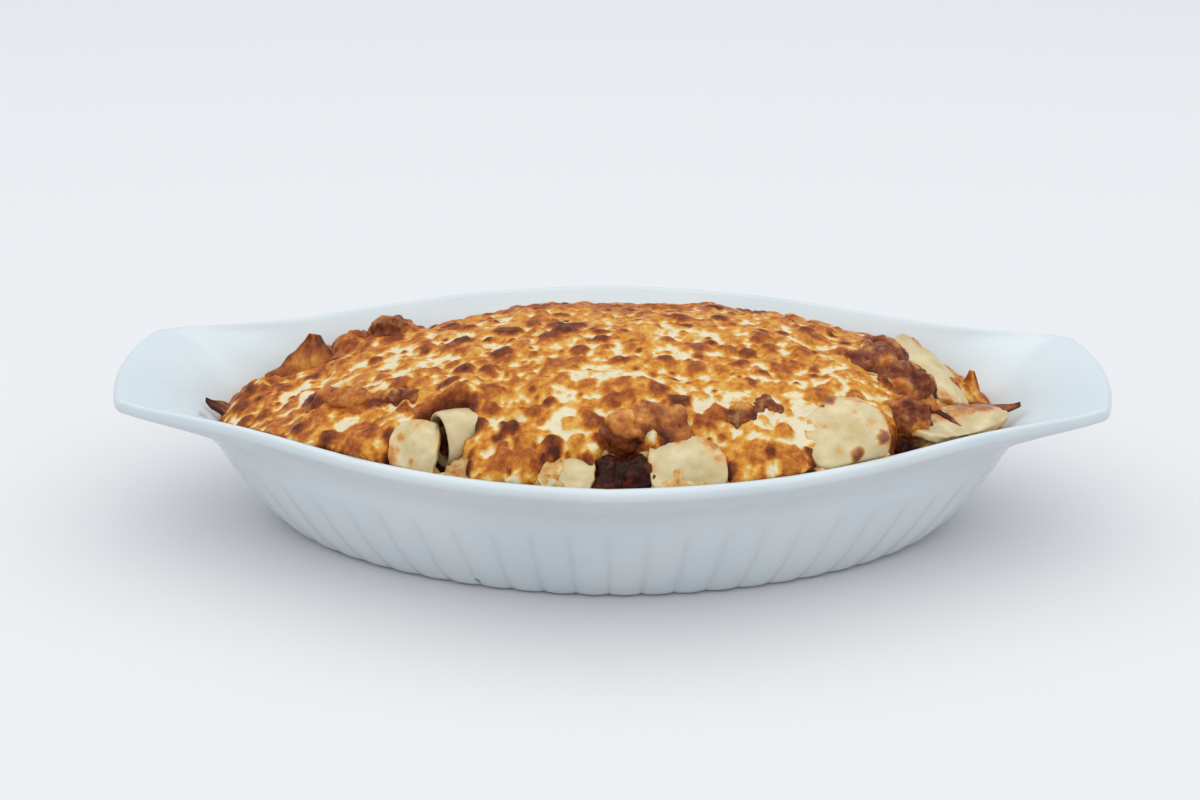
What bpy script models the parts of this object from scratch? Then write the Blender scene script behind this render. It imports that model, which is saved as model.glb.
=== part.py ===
# Baked lasagna in its white porcelain gratin dish: an oval dish with two ears and a fluted wall,
# the filling, the melted cheese over it, and each piece of pasta and meat that shows.
# Lengths are in millimetres, turned into metres where a vertex is made. +X is the dish's length,
# -Y is the front, and z = 0 is the underside of the foot.

import math
import random

import bmesh
import bpy
from mathutils import Matrix, Vector, noise

MM = 0.001
GAP = 0.3
SEED = 11

# Dish
DISH_LENGTH = 280.0
SIDE_ARC_RADIUS = 137.0
SIDE_ARC_HALF_WIDTH = 75.85
EAR_START = 104.0
EAR_HALF_WIDTH = 38.5
EAR_TAPER = 0.28
EAR_BLEND = 6.6
EAR_END_SAG = 4.7
EAR_SAG_WIDTH = 29.0
EAR_CORNER_SHARPNESS = 33.0
CORNER_WEIGHT = 14.0
RIM_HEIGHT = 43.0
RIM_RISE = 3.1
RIM_RISE_START = 20.0
RIM_RISE_POWER = 2.7
LIP_RADIUS = 1.9
LIP_TURNS = (60.0, 120.0)
WALL = 4.4
FLOOR = 5.5
FOOT_HALF_LENGTH = 92.0
FOOT_HALF_WIDTH = 51.4
FOOT_POWER = 1.83
FOOT_RECESS = 1.2
RECESS_TOP = 0.92
RECESS_BOTTOM = 0.93
FOOT_CONTACT = 0.985
FOOT_ROUNDING = 1.2
FLUTES = 52
FLUTE_DEPTH = 1.1
RIB_SHARE = 0.35
GROOVE_SHARE = -0.65
FLUTE_FADE = 7.0
FLUTE_TOP = 26.0
FLUTE_SPREAD = 0.24
SPREAD_POWER = 0.68
WALL_HEIGHTS = (FOOT_ROUNDING, 4.0, 12.0, 20.0, FLUTE_TOP)
CAVITY_CLEARANCE = 0.6
CAVITY_TOP = 95.0

# Food
FOOD_HALF_LENGTH = 111.0
FOOD_HALF_WIDTH = 72.5
FOOD_OUTLINE_POWER = 2.2
CREST_BACKSET = 10.0
CREST_HEIGHT = 61.0
END_HEIGHT = 31.0
FRONT_HEIGHT = 41.0
BACK_HEIGHT = 36.5
FALL_BEYOND_EDGE = 60.0
FULLNESS_FRONT = 2.25
FULLNESS_BACK = 1.25
FULLNESS_RIGHT = 2.7
FULLNESS_LEFT = 1.65
CHEESE = 3.2
CHEESE_EDGE = 0.975
CHEESE_COLUMNS = 110
FILLING_STEP = 13.0
CHEESE_STEP = 4.9
BLISTERS = 130
BLISTER_RADIUS = (3.0, 5.4)
BLISTER_HEIGHT = (0.9, 2.0)
FLAKE_TAPER = 0.9

# Hollows that the bake sank into at the back and at the left end: middle x and y, radius, depth.
HOLLOWS = ((-56.0, 46.0, 24.0, 7.0), (62.0, 46.0, 22.0, 4.0), (-100.0, 14.0, 20.0, 3.0))

# Bays in the cheese where pasta or meat shows, as the bay's middle x and y, its half width and half
# depth.
BAYS = (
    (-46.0, -66.0, 15.0, 17.0),
    (-11.0, -72.0, 9.0, 8.5),
    (4.0, -71.0, 9.5, 13.0),
    (24.0, -71.0, 13.0, 15.0),
    (62.0, -63.0, 15.0, 18.0),
    (90.0, -48.0, 16.0, 22.0),
    (101.0, -16.0, 14.0, 16.0),
    (-78.0, -56.0, 9.0, 9.0),
)

PORCELAIN = "F1F4F6"
FILLING_RED = "7A3A22"
CHEESE_GOLD = "E6B871"
PASTA_CREAM = "DDD3A0"
MEAT_BROWN = "6E3220"
CRUST_BROWN = "A8561F"


def clear_scene():
    for obj in list(bpy.data.objects):
        bpy.data.objects.remove(obj, do_unlink=True)


def linear(channel):
    value = channel / 255.0
    return value / 12.92 if value <= 0.04045 else ((value + 0.055) / 1.055) ** 2.4


def make_material(name, colour, roughness):
    material = bpy.data.materials.new(name)
    material.use_nodes = True
    shader = material.node_tree.nodes["Principled BSDF"]
    channels = [linear(int(colour[i:i + 2], 16)) for i in (0, 2, 4)]
    shader.inputs["Base Color"].default_value = (*channels, 1.0)
    shader.inputs["Roughness"].default_value = roughness
    return material


def add_object(name, bm, material=None):
    """One object from a bmesh, its faces turned outwards."""
    bmesh.ops.recalc_face_normals(bm, faces=bm.faces[:])
    mesh = bpy.data.meshes.new(name)
    bm.to_mesh(mesh)
    bm.free()
    obj = bpy.data.objects.new(name, mesh)
    bpy.context.scene.collection.objects.link(obj)
    if material is not None:
        mesh.materials.append(material)
        mesh.shade_smooth()
        mesh.set_sharp_from_angle(angle=math.radians(50))
    return obj


def apply_boolean(obj, operation, other):
    """Cuts or intersects one object with another, and keeps the result as its mesh. The EXACT
    solver loses these rough bodies, so it is MANIFOLD, and every body here is closed."""
    modifier = obj.modifiers.new(operation.lower(), "BOOLEAN")
    modifier.operation = operation
    modifier.solver = "MANIFOLD"
    modifier.object = other
    bpy.context.view_layer.update()
    graph = bpy.context.evaluated_depsgraph_get()
    result = bpy.data.meshes.new_from_object(obj.evaluated_get(graph))
    obj.modifiers.clear()
    obj.data = result


def keep_largest(obj):
    """Drops the loose scraps that a cut leaves, all but the largest body."""
    bm = bmesh.new()
    bm.from_mesh(obj.data)
    left = set(bm.verts)
    islands = []
    while left:
        reached = [left.pop()]
        island = []
        while reached:
            vert = reached.pop()
            island.append(vert)
            for edge in vert.link_edges:
                other = edge.other_vert(vert)
                if other in left:
                    left.remove(other)
                    reached.append(other)
        islands.append(island)
    islands.sort(key=len)
    for island in islands[:-1]:
        bmesh.ops.delete(bm, geom=island, context="VERTS")
    bm.to_mesh(obj.data)
    bm.free()


def merge_flat_faces(obj, degrees):
    """Joins neighbouring faces that nearly share a plane, which rids cut surfaces of slivers."""
    bm = bmesh.new()
    bm.from_mesh(obj.data)
    limit = math.radians(degrees)
    bmesh.ops.dissolve_limit(bm, angle_limit=limit, verts=bm.verts[:], edges=bm.edges[:])
    bmesh.ops.triangulate(bm, faces=bm.faces[:])
    bm.to_mesh(obj.data)
    bm.free()


def remove(objects):
    for obj in objects:
        bpy.data.objects.remove(obj, do_unlink=True)


def pocket_of(obj, flat=6.0, sharpest=0.4):
    """The hull round a piece, moved out by the gap, which cuts the bed that the piece lies in. Faces
    within flat degrees of each other are joined, and sharpest limits how far a corner moves."""
    bm = bmesh.new()
    bm.from_mesh(obj.data)
    hull = bmesh.ops.convex_hull(bm, input=bm.verts[:], use_existing_faces=False)
    unused = hull["geom_interior"] + hull["geom_unused"]
    loose = {item for item in unused if isinstance(item, bmesh.types.BMVert)}
    bmesh.ops.delete(bm, geom=list(loose), context="VERTS")
    kept = {item for item in hull["geom"] if item.is_valid and isinstance(item, bmesh.types.BMFace)}
    bmesh.ops.delete(bm, geom=[face for face in bm.faces if face not in kept], context="FACES_ONLY")
    bmesh.ops.delete(bm, geom=[edge for edge in bm.edges if not edge.link_faces], context="EDGES")
    limit = math.radians(flat)
    bmesh.ops.dissolve_limit(bm, angle_limit=limit, verts=bm.verts[:], edges=bm.edges[:])
    bmesh.ops.triangulate(bm, faces=bm.faces[:])
    bmesh.ops.recalc_face_normals(bm, faces=bm.faces[:])
    moves = []
    for vert in bm.verts:
        normals = [face.normal for face in vert.link_faces]
        mean = sum(normals, Vector()).normalized()
        lowest = min(mean.dot(normal) for normal in normals)
        moves.append(mean * GAP * MM / max(lowest, sharpest))
    for vert, move in zip(bm.verts, moves):
        vert.co += move
    return add_object(obj.name + "_pocket", bm)


# Dish


def foot_radius(angle):
    along = abs(math.cos(angle) / FOOT_HALF_LENGTH) ** FOOT_POWER
    across = abs(math.sin(angle) / FOOT_HALF_WIDTH) ** FOOT_POWER
    return (along + across) ** (-1.0 / FOOT_POWER)


def rim_half_width(x):
    """Half the dish's width at x: a long arc that blends into the straight sides of an ear. The
    blend brings the arc's half width up to 77.5 in the middle."""
    x = min(abs(x), SIDE_ARC_RADIUS)
    arc = math.sqrt(SIDE_ARC_RADIUS ** 2 - x ** 2) - (SIDE_ARC_RADIUS - SIDE_ARC_HALF_WIDTH)
    ear = EAR_HALF_WIDTH - EAR_TAPER * (x - EAR_START)
    high = max(arc, ear)
    below_high = math.exp((arc - high) / EAR_BLEND) + math.exp((ear - high) / EAR_BLEND)
    return high + EAR_BLEND * math.log(below_high)


def rim_radius(angle):
    """Distance from the middle to the rim: the nearer of the side and the ear's end, rounded."""
    along, across = abs(math.cos(angle)), abs(math.sin(angle))
    low, high = 1.0, 400.0
    for _ in range(40):
        middle = (low + high) / 2
        if middle * across < rim_half_width(middle * along):
            low = middle
        else:
            high = middle
    side = low
    end = DISH_LENGTH / 2 / max(along, 1e-6)
    for _ in range(6):
        sag = EAR_END_SAG * min((end * across / EAR_SAG_WIDTH) ** 2, 6.0)
        end = (DISH_LENGTH / 2 - sag) / max(along, 1e-6)
    sharp = EAR_CORNER_SHARPNESS
    near = min(side, end)
    return near * ((near / side) ** sharp + (near / end) ** sharp) ** (-1.0 / sharp)


def rim_height(x):
    beyond = max(abs(x) - RIM_RISE_START, 0.0) / (DISH_LENGTH / 2 - RIM_RISE_START)
    return RIM_HEIGHT + RIM_RISE * beyond ** RIM_RISE_POWER


def spaced_angles(radius_of, count, corner_weight):
    """Angles round an outline at even steps of its length, closer where it bends."""
    samples = 1440
    points = []
    for i in range(samples + 1):
        angle = 2 * math.pi * i / samples
        radius = radius_of(angle)
        points.append(Vector((radius * math.cos(angle), radius * math.sin(angle))))
    run = [0.0]
    for i in range(samples):
        here = points[i + 1] - points[i]
        after = points[(i + 1) % samples + 1] - points[(i + 1) % samples]
        run.append(run[-1] + here.length + corner_weight * abs(here.angle(after, 0.0)))
    angles = []
    k = 0
    for j in range(count):
        target = run[-1] * j / count
        while run[k + 1] < target:
            k += 1
        share = (target - run[k]) / (run[k + 1] - run[k])
        angles.append(2 * math.pi * (k + share) / samples)
    return angles


def wall_spread(height):
    """How far the fluted wall has widened at a height, against the foot's outline."""
    return 1.0 + FLUTE_SPREAD * (max(height, 0.0) / FLUTE_TOP) ** SPREAD_POWER


def wall_profile(foot_angle, rim_angle):
    """The smooth outer wall in one upright plane: (radius, height, angle) from the foot to the lip."""
    foot = foot_radius(foot_angle)
    points = [(foot * wall_spread(h), h, foot_angle) for h in WALL_HEIGHTS]
    start = Vector((points[-1][0], FLUTE_TOP))
    rim = rim_radius(rim_angle)
    centre = Vector((rim - LIP_RADIUS, rim_height(rim * math.cos(rim_angle)) - LIP_RADIUS))
    chord = centre - start
    lean = math.atan2(chord.y, chord.x)
    flat = lean * (0.82 - 0.37 * abs(math.cos(rim_angle)) ** 6)
    tangent = Vector((math.cos(flat), math.sin(flat)))
    inward = Vector((-tangent.y, tangent.x))
    end = centre - inward * LIP_RADIUS
    rise = Vector((foot * (wall_spread(FLUTE_TOP) - wall_spread(22.0)), 4.0)).normalized()
    reach = (end - start).length / 3
    knots = (start, start + rise * reach, end - tangent * reach, end)
    for share in (0.5, 1.0):
        rest = 1.0 - share
        at = knots[0] * rest ** 3 + knots[1] * 3 * rest ** 2 * share
        at += knots[2] * 3 * rest * share ** 2 + knots[3] * share ** 3
        points.append((at.x, at.y, foot_angle + (rim_angle - foot_angle) * share))
    return points, centre, tangent, inward


def flute_offset(index, height):
    """Two points on each rib and one in the groove between, fading out below the plain band."""
    fade = min(max((FLUTE_TOP - height) / FLUTE_FADE, 0.0), 1.0)
    return FLUTE_DEPTH * (RIB_SHARE if index % 3 else GROOVE_SHARE) * fade


def ring(bm, points):
    """A closed loop of edges through the points."""
    verts = [bm.verts.new(point * MM) for point in points]
    return [bm.edges.new((verts[i - 1], verts[i])) for i in range(len(verts))]


def bridge(bm, rings):
    for lower, upper in zip(rings, rings[1:]):
        bmesh.ops.bridge_loops(bm, edges=lower + upper)


def cap(bm, edges):
    bmesh.ops.holes_fill(bm, edges=edges, sides=0)


def polar(radius, angle, height):
    return Vector((radius * math.cos(angle), radius * math.sin(angle), height))


def inner_profile(foot_angle, rim_angle, thickness):
    """The wall's inner side, from the lip down to the floor, a wall's thickness inside the outer."""
    outer, centre, _, inward = wall_profile(foot_angle, rim_angle)
    points = []
    for i in range(len(outer) - 2, 1, -1):
        below, above = outer[i - 1], outer[i + 1]
        along = Vector((above[0] - below[0], above[1] - below[1])).normalized()
        radius = outer[i][0] - along.y * thickness
        points.append((radius, outer[i][1] + along.x * thickness, outer[i][2]))
    floor_radius = foot_radius(foot_angle) * wall_spread(5.0) - thickness - 3.0
    points.append((floor_radius, FLOOR + thickness - WALL, foot_angle))
    return points, centre + inward * LIP_RADIUS


def inner_rings(bm, thickness):
    """Rings down the wall's inner side from the lip, with half the columns below the first two."""
    foot_angles = spaced_angles(foot_radius, 2 * FLUTES, 0.0)
    rim_angles = spaced_angles(rim_radius, 2 * FLUTES, CORNER_WEIGHT)
    inner = [inner_profile(a, b, thickness) for a, b in zip(foot_angles, rim_angles)]
    inset = thickness - WALL
    rings = [ring(bm, [polar(top.x - inset, b, top.y) for (_, top), b in zip(inner, rim_angles)])]
    for row in range(len(inner[0][0])):
        columns = inner if row == 0 else inner[::2]
        rings.append(ring(bm, [polar(*[points[row][k] for k in (0, 2, 1)]) for points, _ in columns]))
    return rings


def make_dish(material):
    bm = bmesh.new()
    fluted = 3 * FLUTES
    plain = 2 * FLUTES
    foot_fluted = spaced_angles(foot_radius, fluted, 0.0)
    foot_plain = spaced_angles(foot_radius, plain, 0.0)
    rim_plain = spaced_angles(rim_radius, plain, CORNER_WEIGHT)
    profiles = [wall_profile(angle, angle)[0] for angle in foot_fluted]
    recess = [polar(foot_radius(a) * RECESS_BOTTOM, a, 0.0) for a in foot_plain[::2]]
    step = [polar(foot_radius(a) * RECESS_TOP, a, FOOT_RECESS) for a in foot_plain[::2]]
    contact = []
    for i, angle in enumerate(foot_fluted):
        contact.append(polar(foot_radius(angle) * FOOT_CONTACT + flute_offset(i, 0.0), angle, 0.0))
    rings = [ring(bm, step), ring(bm, recess), ring(bm, contact)]
    for row in range(len(WALL_HEIGHTS)):
        loop = []
        for i, profile in enumerate(profiles):
            radius, height, angle = profile[row]
            loop.append(polar(radius + flute_offset(i, height), angle, height))
        rings.append(ring(bm, loop))
    walls = [wall_profile(a, b) for a, b in zip(foot_plain, rim_plain)]
    for row in range(len(WALL_HEIGHTS), len(walls[0][0])):
        loop = []
        for points, *_ in walls:
            radius, height, angle = points[row]
            loop.append(polar(radius, angle, height))
        rings.append(ring(bm, loop))
    for turn in LIP_TURNS:
        out = LIP_RADIUS * math.cos(math.radians(turn))
        over = LIP_RADIUS * math.sin(math.radians(turn))
        loop = []
        for (_, centre, tangent, inward), angle in zip(walls, rim_plain):
            at = centre - inward * out + tangent * over
            loop.append(polar(at.x, angle, at.y))
        rings.append(ring(bm, loop))
    rings += inner_rings(bm, WALL)
    bridge(bm, rings)
    cap(bm, rings[0])
    cap(bm, rings[-1])
    return add_object("dish", bm, material)


def make_cavity():
    """The room inside the dish, a gap clear of its wall and open upwards, that food is cut to."""
    bm = bmesh.new()
    rings = inner_rings(bm, WALL + CAVITY_CLEARANCE)
    lip = [edge.verts[1].co / MM for edge in rings[0]]
    rings.insert(0, ring(bm, [Vector((point.x, point.y, CAVITY_TOP)) for point in lip]))
    bridge(bm, rings)
    cap(bm, rings[0])
    cap(bm, rings[-1])
    return add_object("cavity", bm)


# Food


def food_reach(x, y):
    """0 over the crest and 1 at the food's edge, with the angle between, for the dome's formula."""
    shifted = y + CREST_BACKSET * (1.0 - (y / FOOD_HALF_WIDTH) ** 2)
    u, v = x / FOOD_HALF_LENGTH, shifted / FOOD_HALF_WIDTH
    power = FOOD_OUTLINE_POWER
    return (abs(u) ** power + abs(v) ** power) ** (1.0 / power), math.atan2(v, u)


def dome_height(x, y):
    """The top of the bake without its blisters."""
    reach, angle = food_reach(x, y)
    along, across = math.cos(angle) ** 2, math.sin(angle) ** 2
    fullness = along * (FULLNESS_RIGHT if x > 0 else FULLNESS_LEFT)
    fullness += across * (FULLNESS_FRONT if y < -CREST_BACKSET else FULLNESS_BACK)
    side = BACK_HEIGHT if angle > 0.0 else FRONT_HEIGHT
    edge = END_HEIGHT + (side - END_HEIGHT) * across ** 0.7
    for hollow_x, hollow_y, radius, depth in HOLLOWS:
        away = math.hypot(x - hollow_x, y - hollow_y) / radius
        edge -= depth * math.exp(-2.0 * away ** 2)
    if reach >= 1.0:
        return edge - FALL_BEYOND_EDGE * (reach - 1.0)
    lumps = 1.5 * noise.noise(Vector((x / 19.0, y / 15.0, 3.1)))
    lumps += 0.8 * noise.noise(Vector((x / 8.0, y / 7.0, 8.4)))
    rise = CREST_HEIGHT - END_HEIGHT - (side - END_HEIGHT) * across ** 0.7
    return edge + rise * (1.0 - reach ** fullness) ** 0.8 + lumps


def scatter_blisters(rng):
    """Browned bubbles of the cheese, none inside another, as (x, y, radius, height)."""
    found = []
    for _ in range(BLISTERS * 30):
        x = rng.uniform(-108.0, 108.0)
        y = rng.uniform(-70.0, 70.0)
        radius = rng.uniform(*BLISTER_RADIUS)
        if food_reach(x, y)[0] > 0.97:
            continue
        if any(math.hypot(x - a, y - b) < 0.8 * (radius + r) for a, b, r, _ in found):
            continue
        found.append((x, y, radius, rng.uniform(*BLISTER_HEIGHT)))
        if len(found) == BLISTERS:
            break
    return found


def blister_height(x, y, blisters):
    height = 0.0
    for a, b, radius, tall in blisters:
        distance = math.hypot(x - a, y - b)
        if distance < radius:
            height = max(height, tall * (1.0 - (distance / radius) ** 2))
    return height


def slab(name, step, height_at, bottom):
    """A block under a height field, over a plain flat bottom."""
    columns = 2 * math.ceil((FOOD_HALF_LENGTH + 7.0) / step)
    rows = 2 * math.ceil((FOOD_HALF_WIDTH + 5.0) / step)
    bm = bmesh.new()
    bmesh.ops.create_grid(bm, x_segments=columns, y_segments=rows, size=1.0)
    for vert in bm.verts:
        x = vert.co.x * columns * step / 2
        y = vert.co.y * rows * step / 2
        vert.co = Vector((x, y, max(height_at(x, y), bottom + 1.0))) * MM
    bmesh.ops.triangulate(bm, faces=bm.faces[:])
    border = [edge for edge in bm.edges if edge.is_boundary]
    skirt = bmesh.ops.extrude_edge_only(bm, edges=border)["geom"]
    for vert in [item for item in skirt if isinstance(item, bmesh.types.BMVert)]:
        vert.co.z = bottom * MM
    cap(bm, [edge for edge in bm.edges if edge.is_boundary])
    return add_object(name, bm)


def cheese_outline(angle):
    """The wavy edge of the cheese, pulled back in a bay wherever pasta or meat shows."""
    direction = Vector((math.cos(angle), math.sin(angle)))
    radius = 60.0
    while food_reach(*(direction * radius))[0] < CHEESE_EDGE and radius < DISH_LENGTH / 2:
        radius += 0.5
    full = radius + 0.8 * noise.noise(Vector((6.0 * direction.x, 6.0 * direction.y, 1.7)))
    radius = 30.0
    while radius < full:
        at = direction * radius
        inside = any(((at.x - x) / w) ** 2 + ((at.y - y) / d) ** 2 < 1.0 for x, y, w, d in BAYS)
        if inside:
            return radius
        radius += 0.5
    return full


def make_cheese_prism(bottom=20.0, top=90.0):
    """An upright block with the cheese's outline, from below the cheese to above it."""
    bm = bmesh.new()
    lower = []
    for i in range(CHEESE_COLUMNS):
        angle = 2 * math.pi * i / CHEESE_COLUMNS
        lower.append(polar(cheese_outline(angle), angle, bottom))
    upper = [point + Vector((0.0, 0.0, top - bottom)) for point in lower]
    rings = [ring(bm, lower), ring(bm, upper)]
    bridge(bm, rings)
    cap(bm, rings[0])
    cap(bm, rings[1])
    return add_object("cheese_prism", bm)


def filling_height(x, y):
    return dome_height(x, y) - CHEESE


def make_filling(cavity, material, bottom=2.0):
    """The filling down to the dish's floor: the block starts below it and is cut to the cavity."""
    filling = slab("filling", FILLING_STEP, filling_height, bottom)
    apply_boolean(filling, "INTERSECT", cavity)
    keep_largest(filling)
    filling.data.materials.clear()
    filling.data.materials.append(material)
    return filling


def make_cheese(cavity, material, bottom=15.0):
    """The blistered top, cut to its outline and to the cavity, less the filling under it."""
    blisters = scatter_blisters(random.Random(SEED))

    def top(x, y):
        return dome_height(x, y) + blister_height(x, y, blisters)

    cheese = slab("cheese", CHEESE_STEP, top, bottom)
    prism = make_cheese_prism()
    below = slab("below", FILLING_STEP, lambda x, y: filling_height(x, y) + GAP, -bottom)
    apply_boolean(cheese, "INTERSECT", prism)
    apply_boolean(cheese, "INTERSECT", cavity)
    apply_boolean(cheese, "DIFFERENCE", below)
    keep_largest(cheese)
    remove([prism, below])
    cheese.data.materials.clear()
    cheese.data.materials.append(material)
    return cheese


# Pieces that show


def frame_at(x, y, z, heading, tilt, roll=0.0):
    """A place on the bake: its heading about Z, then its tilt and roll, in degrees."""
    turn = Matrix.Rotation(math.radians(heading), 4, "Z")
    turn @= Matrix.Rotation(math.radians(tilt), 4, "X")
    turn @= Matrix.Rotation(math.radians(roll), 4, "Y")
    return Matrix.Translation(Vector((x, y, z)) * MM) @ turn


def pasta_sheet(name, place, size, bulge, wave, material):
    """A piece of cooked pasta sheet: thin, bent over its width and wavy along its edges."""
    length, width, thick = size
    bm = bmesh.new()
    bmesh.ops.create_grid(bm, x_segments=6, y_segments=4, size=1.0)
    for vert in bm.verts:
        u, v = vert.co.x, vert.co.y
        corner = 1.0 - 0.16 * (u * u) * (v * v)
        lift = bulge * (1.0 - 0.8 * v * v - 0.2 * u * u) + wave * math.sin(2.6 * u + 1.3 * v)
        vert.co = Vector((u * length / 2 * corner, v * width / 2 * corner, lift)) * MM
    bmesh.ops.triangulate(bm, faces=bm.faces[:])
    bmesh.ops.solidify(bm, geom=bm.faces[:], thickness=thick * MM)
    bmesh.ops.transform(bm, matrix=place, verts=bm.verts[:])
    return add_object(name, bm, material)


def pasta_tube(name, place, size, wall, depth, material, sides=16, droop=1.6):
    """A rolled sheet of pasta, open at one end as far as the fold can be seen. Its size is the
    length, half the width and half the height, and droop is how far its closed end sinks."""
    length, half_width, half_height = size
    bm = bmesh.new()

    def oval(x, inset):
        points = []
        for i in range(sides):
            angle = 2 * math.pi * i / sides
            across = (half_width - inset) * math.cos(angle)
            up = (half_height - inset) * math.sin(angle) - droop * (x / length) ** 2
            points.append(Vector((x, across, up)))
        return points

    stations = [oval(depth, wall + 1.4), oval(depth * 0.5, wall + 0.3), oval(0.3, wall)]
    stations += [oval(-0.4, wall / 2), oval(0.3, 0.0)]
    stations += [oval(length * share, 0.9 * share ** 3) for share in (0.35, 0.65, 0.93)]
    stations.append(oval(length, half_height * 0.45))
    rings = [ring(bm, points) for points in stations]
    bridge(bm, rings)
    cap(bm, rings[0])
    cap(bm, rings[-1])
    bmesh.ops.transform(bm, matrix=place, verts=bm.verts[:])
    return add_object(name, bm, material)


def lump(name, x, y, z, size, seed, material=None):
    """One piece of minced meat: a ball pressed out of round, with a crumbly surface."""
    bm = bmesh.new()
    bmesh.ops.create_icosphere(bm, subdivisions=2, radius=1.0)
    for vert in bm.verts:
        rough = 1.0 + 0.28 * noise.noise(vert.co * 1.7 + Vector((seed, 0.0, 0.0)))
        at = vert.co * rough
        vert.co = Vector((x + at.x * size[0], y + at.y * size[1], z + at.z * size[2])) * MM
    return add_object(name, bm, material)


def meat(name, lumps, material):
    """Several lumps that have cooked together, joined into one piece."""
    pieces = [lump(name + "_lump", x, y, z, size, i * 3.7) for i, (x, y, z, size) in enumerate(lumps)]
    heap = bpy.data.collections.new(name + "_lumps")
    bpy.context.scene.collection.children.link(heap)
    for piece in pieces[1:]:
        bpy.context.scene.collection.objects.unlink(piece)
        heap.objects.link(piece)
    first = pieces[0]
    if len(pieces) > 1:
        modifier = first.modifiers.new("join", "BOOLEAN")
        modifier.operation = "UNION"
        modifier.operand_type = "COLLECTION"
        modifier.collection = heap
        bpy.context.view_layer.update()
        graph = bpy.context.evaluated_depsgraph_get()
        first.data = bpy.data.meshes.new_from_object(first.evaluated_get(graph))
        first.modifiers.clear()
        remove(pieces[1:])
    bpy.data.collections.remove(heap)
    keep_largest(first)
    first.name = name
    first.data.materials.clear()
    first.data.materials.append(material)
    first.data.shade_smooth()
    return first


def crisp_flake(name, place, length, width, thick, material):
    """A corner of pasta baked hard and brown: a thin three-cornered flake, curled at its tip."""
    bm = bmesh.new()
    bmesh.ops.create_grid(bm, x_segments=5, y_segments=3, size=1.0)
    for vert in bm.verts:
        along = (vert.co.x + 1.0) / 2
        half = width / 2 * (1.0 - FLAKE_TAPER * along)
        curl = 0.22 * length * along ** 2 + 0.8 * math.sin(5.0 * along + vert.co.y)
        vert.co = Vector((length * along, vert.co.y * half, curl)) * MM
    bmesh.ops.triangulate(bm, faces=bm.faces[:])
    bmesh.ops.solidify(bm, geom=bm.faces[:], thickness=thick * MM)
    bmesh.ops.transform(bm, matrix=place, verts=bm.verts[:])
    return add_object(name, bm, material)


def make_pasta(pasta):
    return [
        pasta_tube("pasta_roll", frame_at(-44.5, -53.5, 46.4, 28, 0), (17.0, 7.2, 7.8), 1.9, 9.0, pasta),
        pasta_sheet("pasta_left", frame_at(-50.2, -57.2, 45.8, -8, 45), (14.0, 16.0, 2.2), 3.0, 0.7, pasta),
        pasta_sheet("pasta_middle", frame_at(-10.8, -67.4, 43.5, -3, 32), (15.0, 10.4, 2.2), 1.6, 0.6, pasta),
        pasta_sheet("pasta_crater", frame_at(20.2, -64.0, 44.7, 5, 40), (20.5, 16.0, 2.2), 2.6, 0.9, pasta),
        pasta_sheet("pasta_front", frame_at(61.4, -49.8, 47.4, 14, 30), (22.8, 23.4, 2.4), 4.0, 0.9, pasta),
        pasta_sheet(
            "pasta_strip", frame_at(90.5, 1.0, 45.0, -60, -15, 20), (32.0, 13.0, 2.0), 1.5, 0.8, pasta
        ),
        pasta_sheet(
            "pasta_edge", frame_at(95.0, -27.0, 42.0, 47, 12, 10), (42.0, 12.0, 1.9), 0.8, 0.9, pasta
        ),
    ]


def make_meats(ground_meat, crust):
    """Each piece of meat as its lumps: middle x, y and z, then half sizes."""
    crater = ((0.0, -65.5, 41.0, (6.0, 5.5, 5.5)), (6.5, -65.0, 41.5, (5.5, 5.5, 5.5)))
    middle = ((35.0, -50.4, 50.6, (5.6, 4.6, 4.4)), (39.6, -47.2, 51.2, (5.4, 4.6, 4.2)))
    left = ((-77.0, -30.0, 45.4, (7.5, 6.0, 5.0)), (-69.5, -32.5, 47.2, (7.0, 5.6, 4.8)))
    back = ((-73.0, 13.0, 44.8, (7.8, 6.0, 5.2)), (-63.0, 13.0, 49.2, (7.8, 6.5, 6.0)))
    arch = (
        (4.0, -56.6, 49.8, (7.0, 5.4, 6.2)),
        (9.5, -52.5, 52.4, (7.0, 5.0, 4.6)),
        (15.5, -54.7, 50.6, (6.4, 5.4, 6.0)),
    )
    right = (
        (71.0, -14.0, 52.2, (9.5, 8.5, 4.6)),
        (79.0, -21.0, 49.6, (9.5, 9.0, 5.6)),
        (79.5, -35.0, 45.8, (7.5, 7.0, 5.8)),
        (76.0, -3.0, 51.0, (8.0, 8.0, 4.4)),
    )
    return [
        meat("meat_crater", crater, ground_meat),
        meat("meat_arch", arch, crust),
        meat("meat_middle", middle, ground_meat),
        meat("meat_right", right, ground_meat),
        meat("meat_strip", ((-55.0, -38.5, 50.2, (5.0, 4.0, 3.4)),), ground_meat),
        meat("meat_left", left, ground_meat),
        meat("meat_back", back, ground_meat),
    ]


def make_flakes(crust):
    return [
        crisp_flake("crisp_left", frame_at(-87.0, 5.5, 37.0, 70, 0, -65), 15.0, 30.0, 1.7, crust),
        crisp_flake("crisp_tip", frame_at(-102.5, -8.5, 32.5, 172, 0, -16), 13.5, 7.0, 1.4, crust),
        crisp_flake("crisp_right", frame_at(100.5, -2.5, 33.5, 70, 0, -55), 12.5, 13.0, 1.4, crust),
        crisp_flake("crisp_edge", frame_at(99.5, -11.0, 37.0, 14, 36, -2), 15.5, 8.5, 1.4, crust),
    ]


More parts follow.
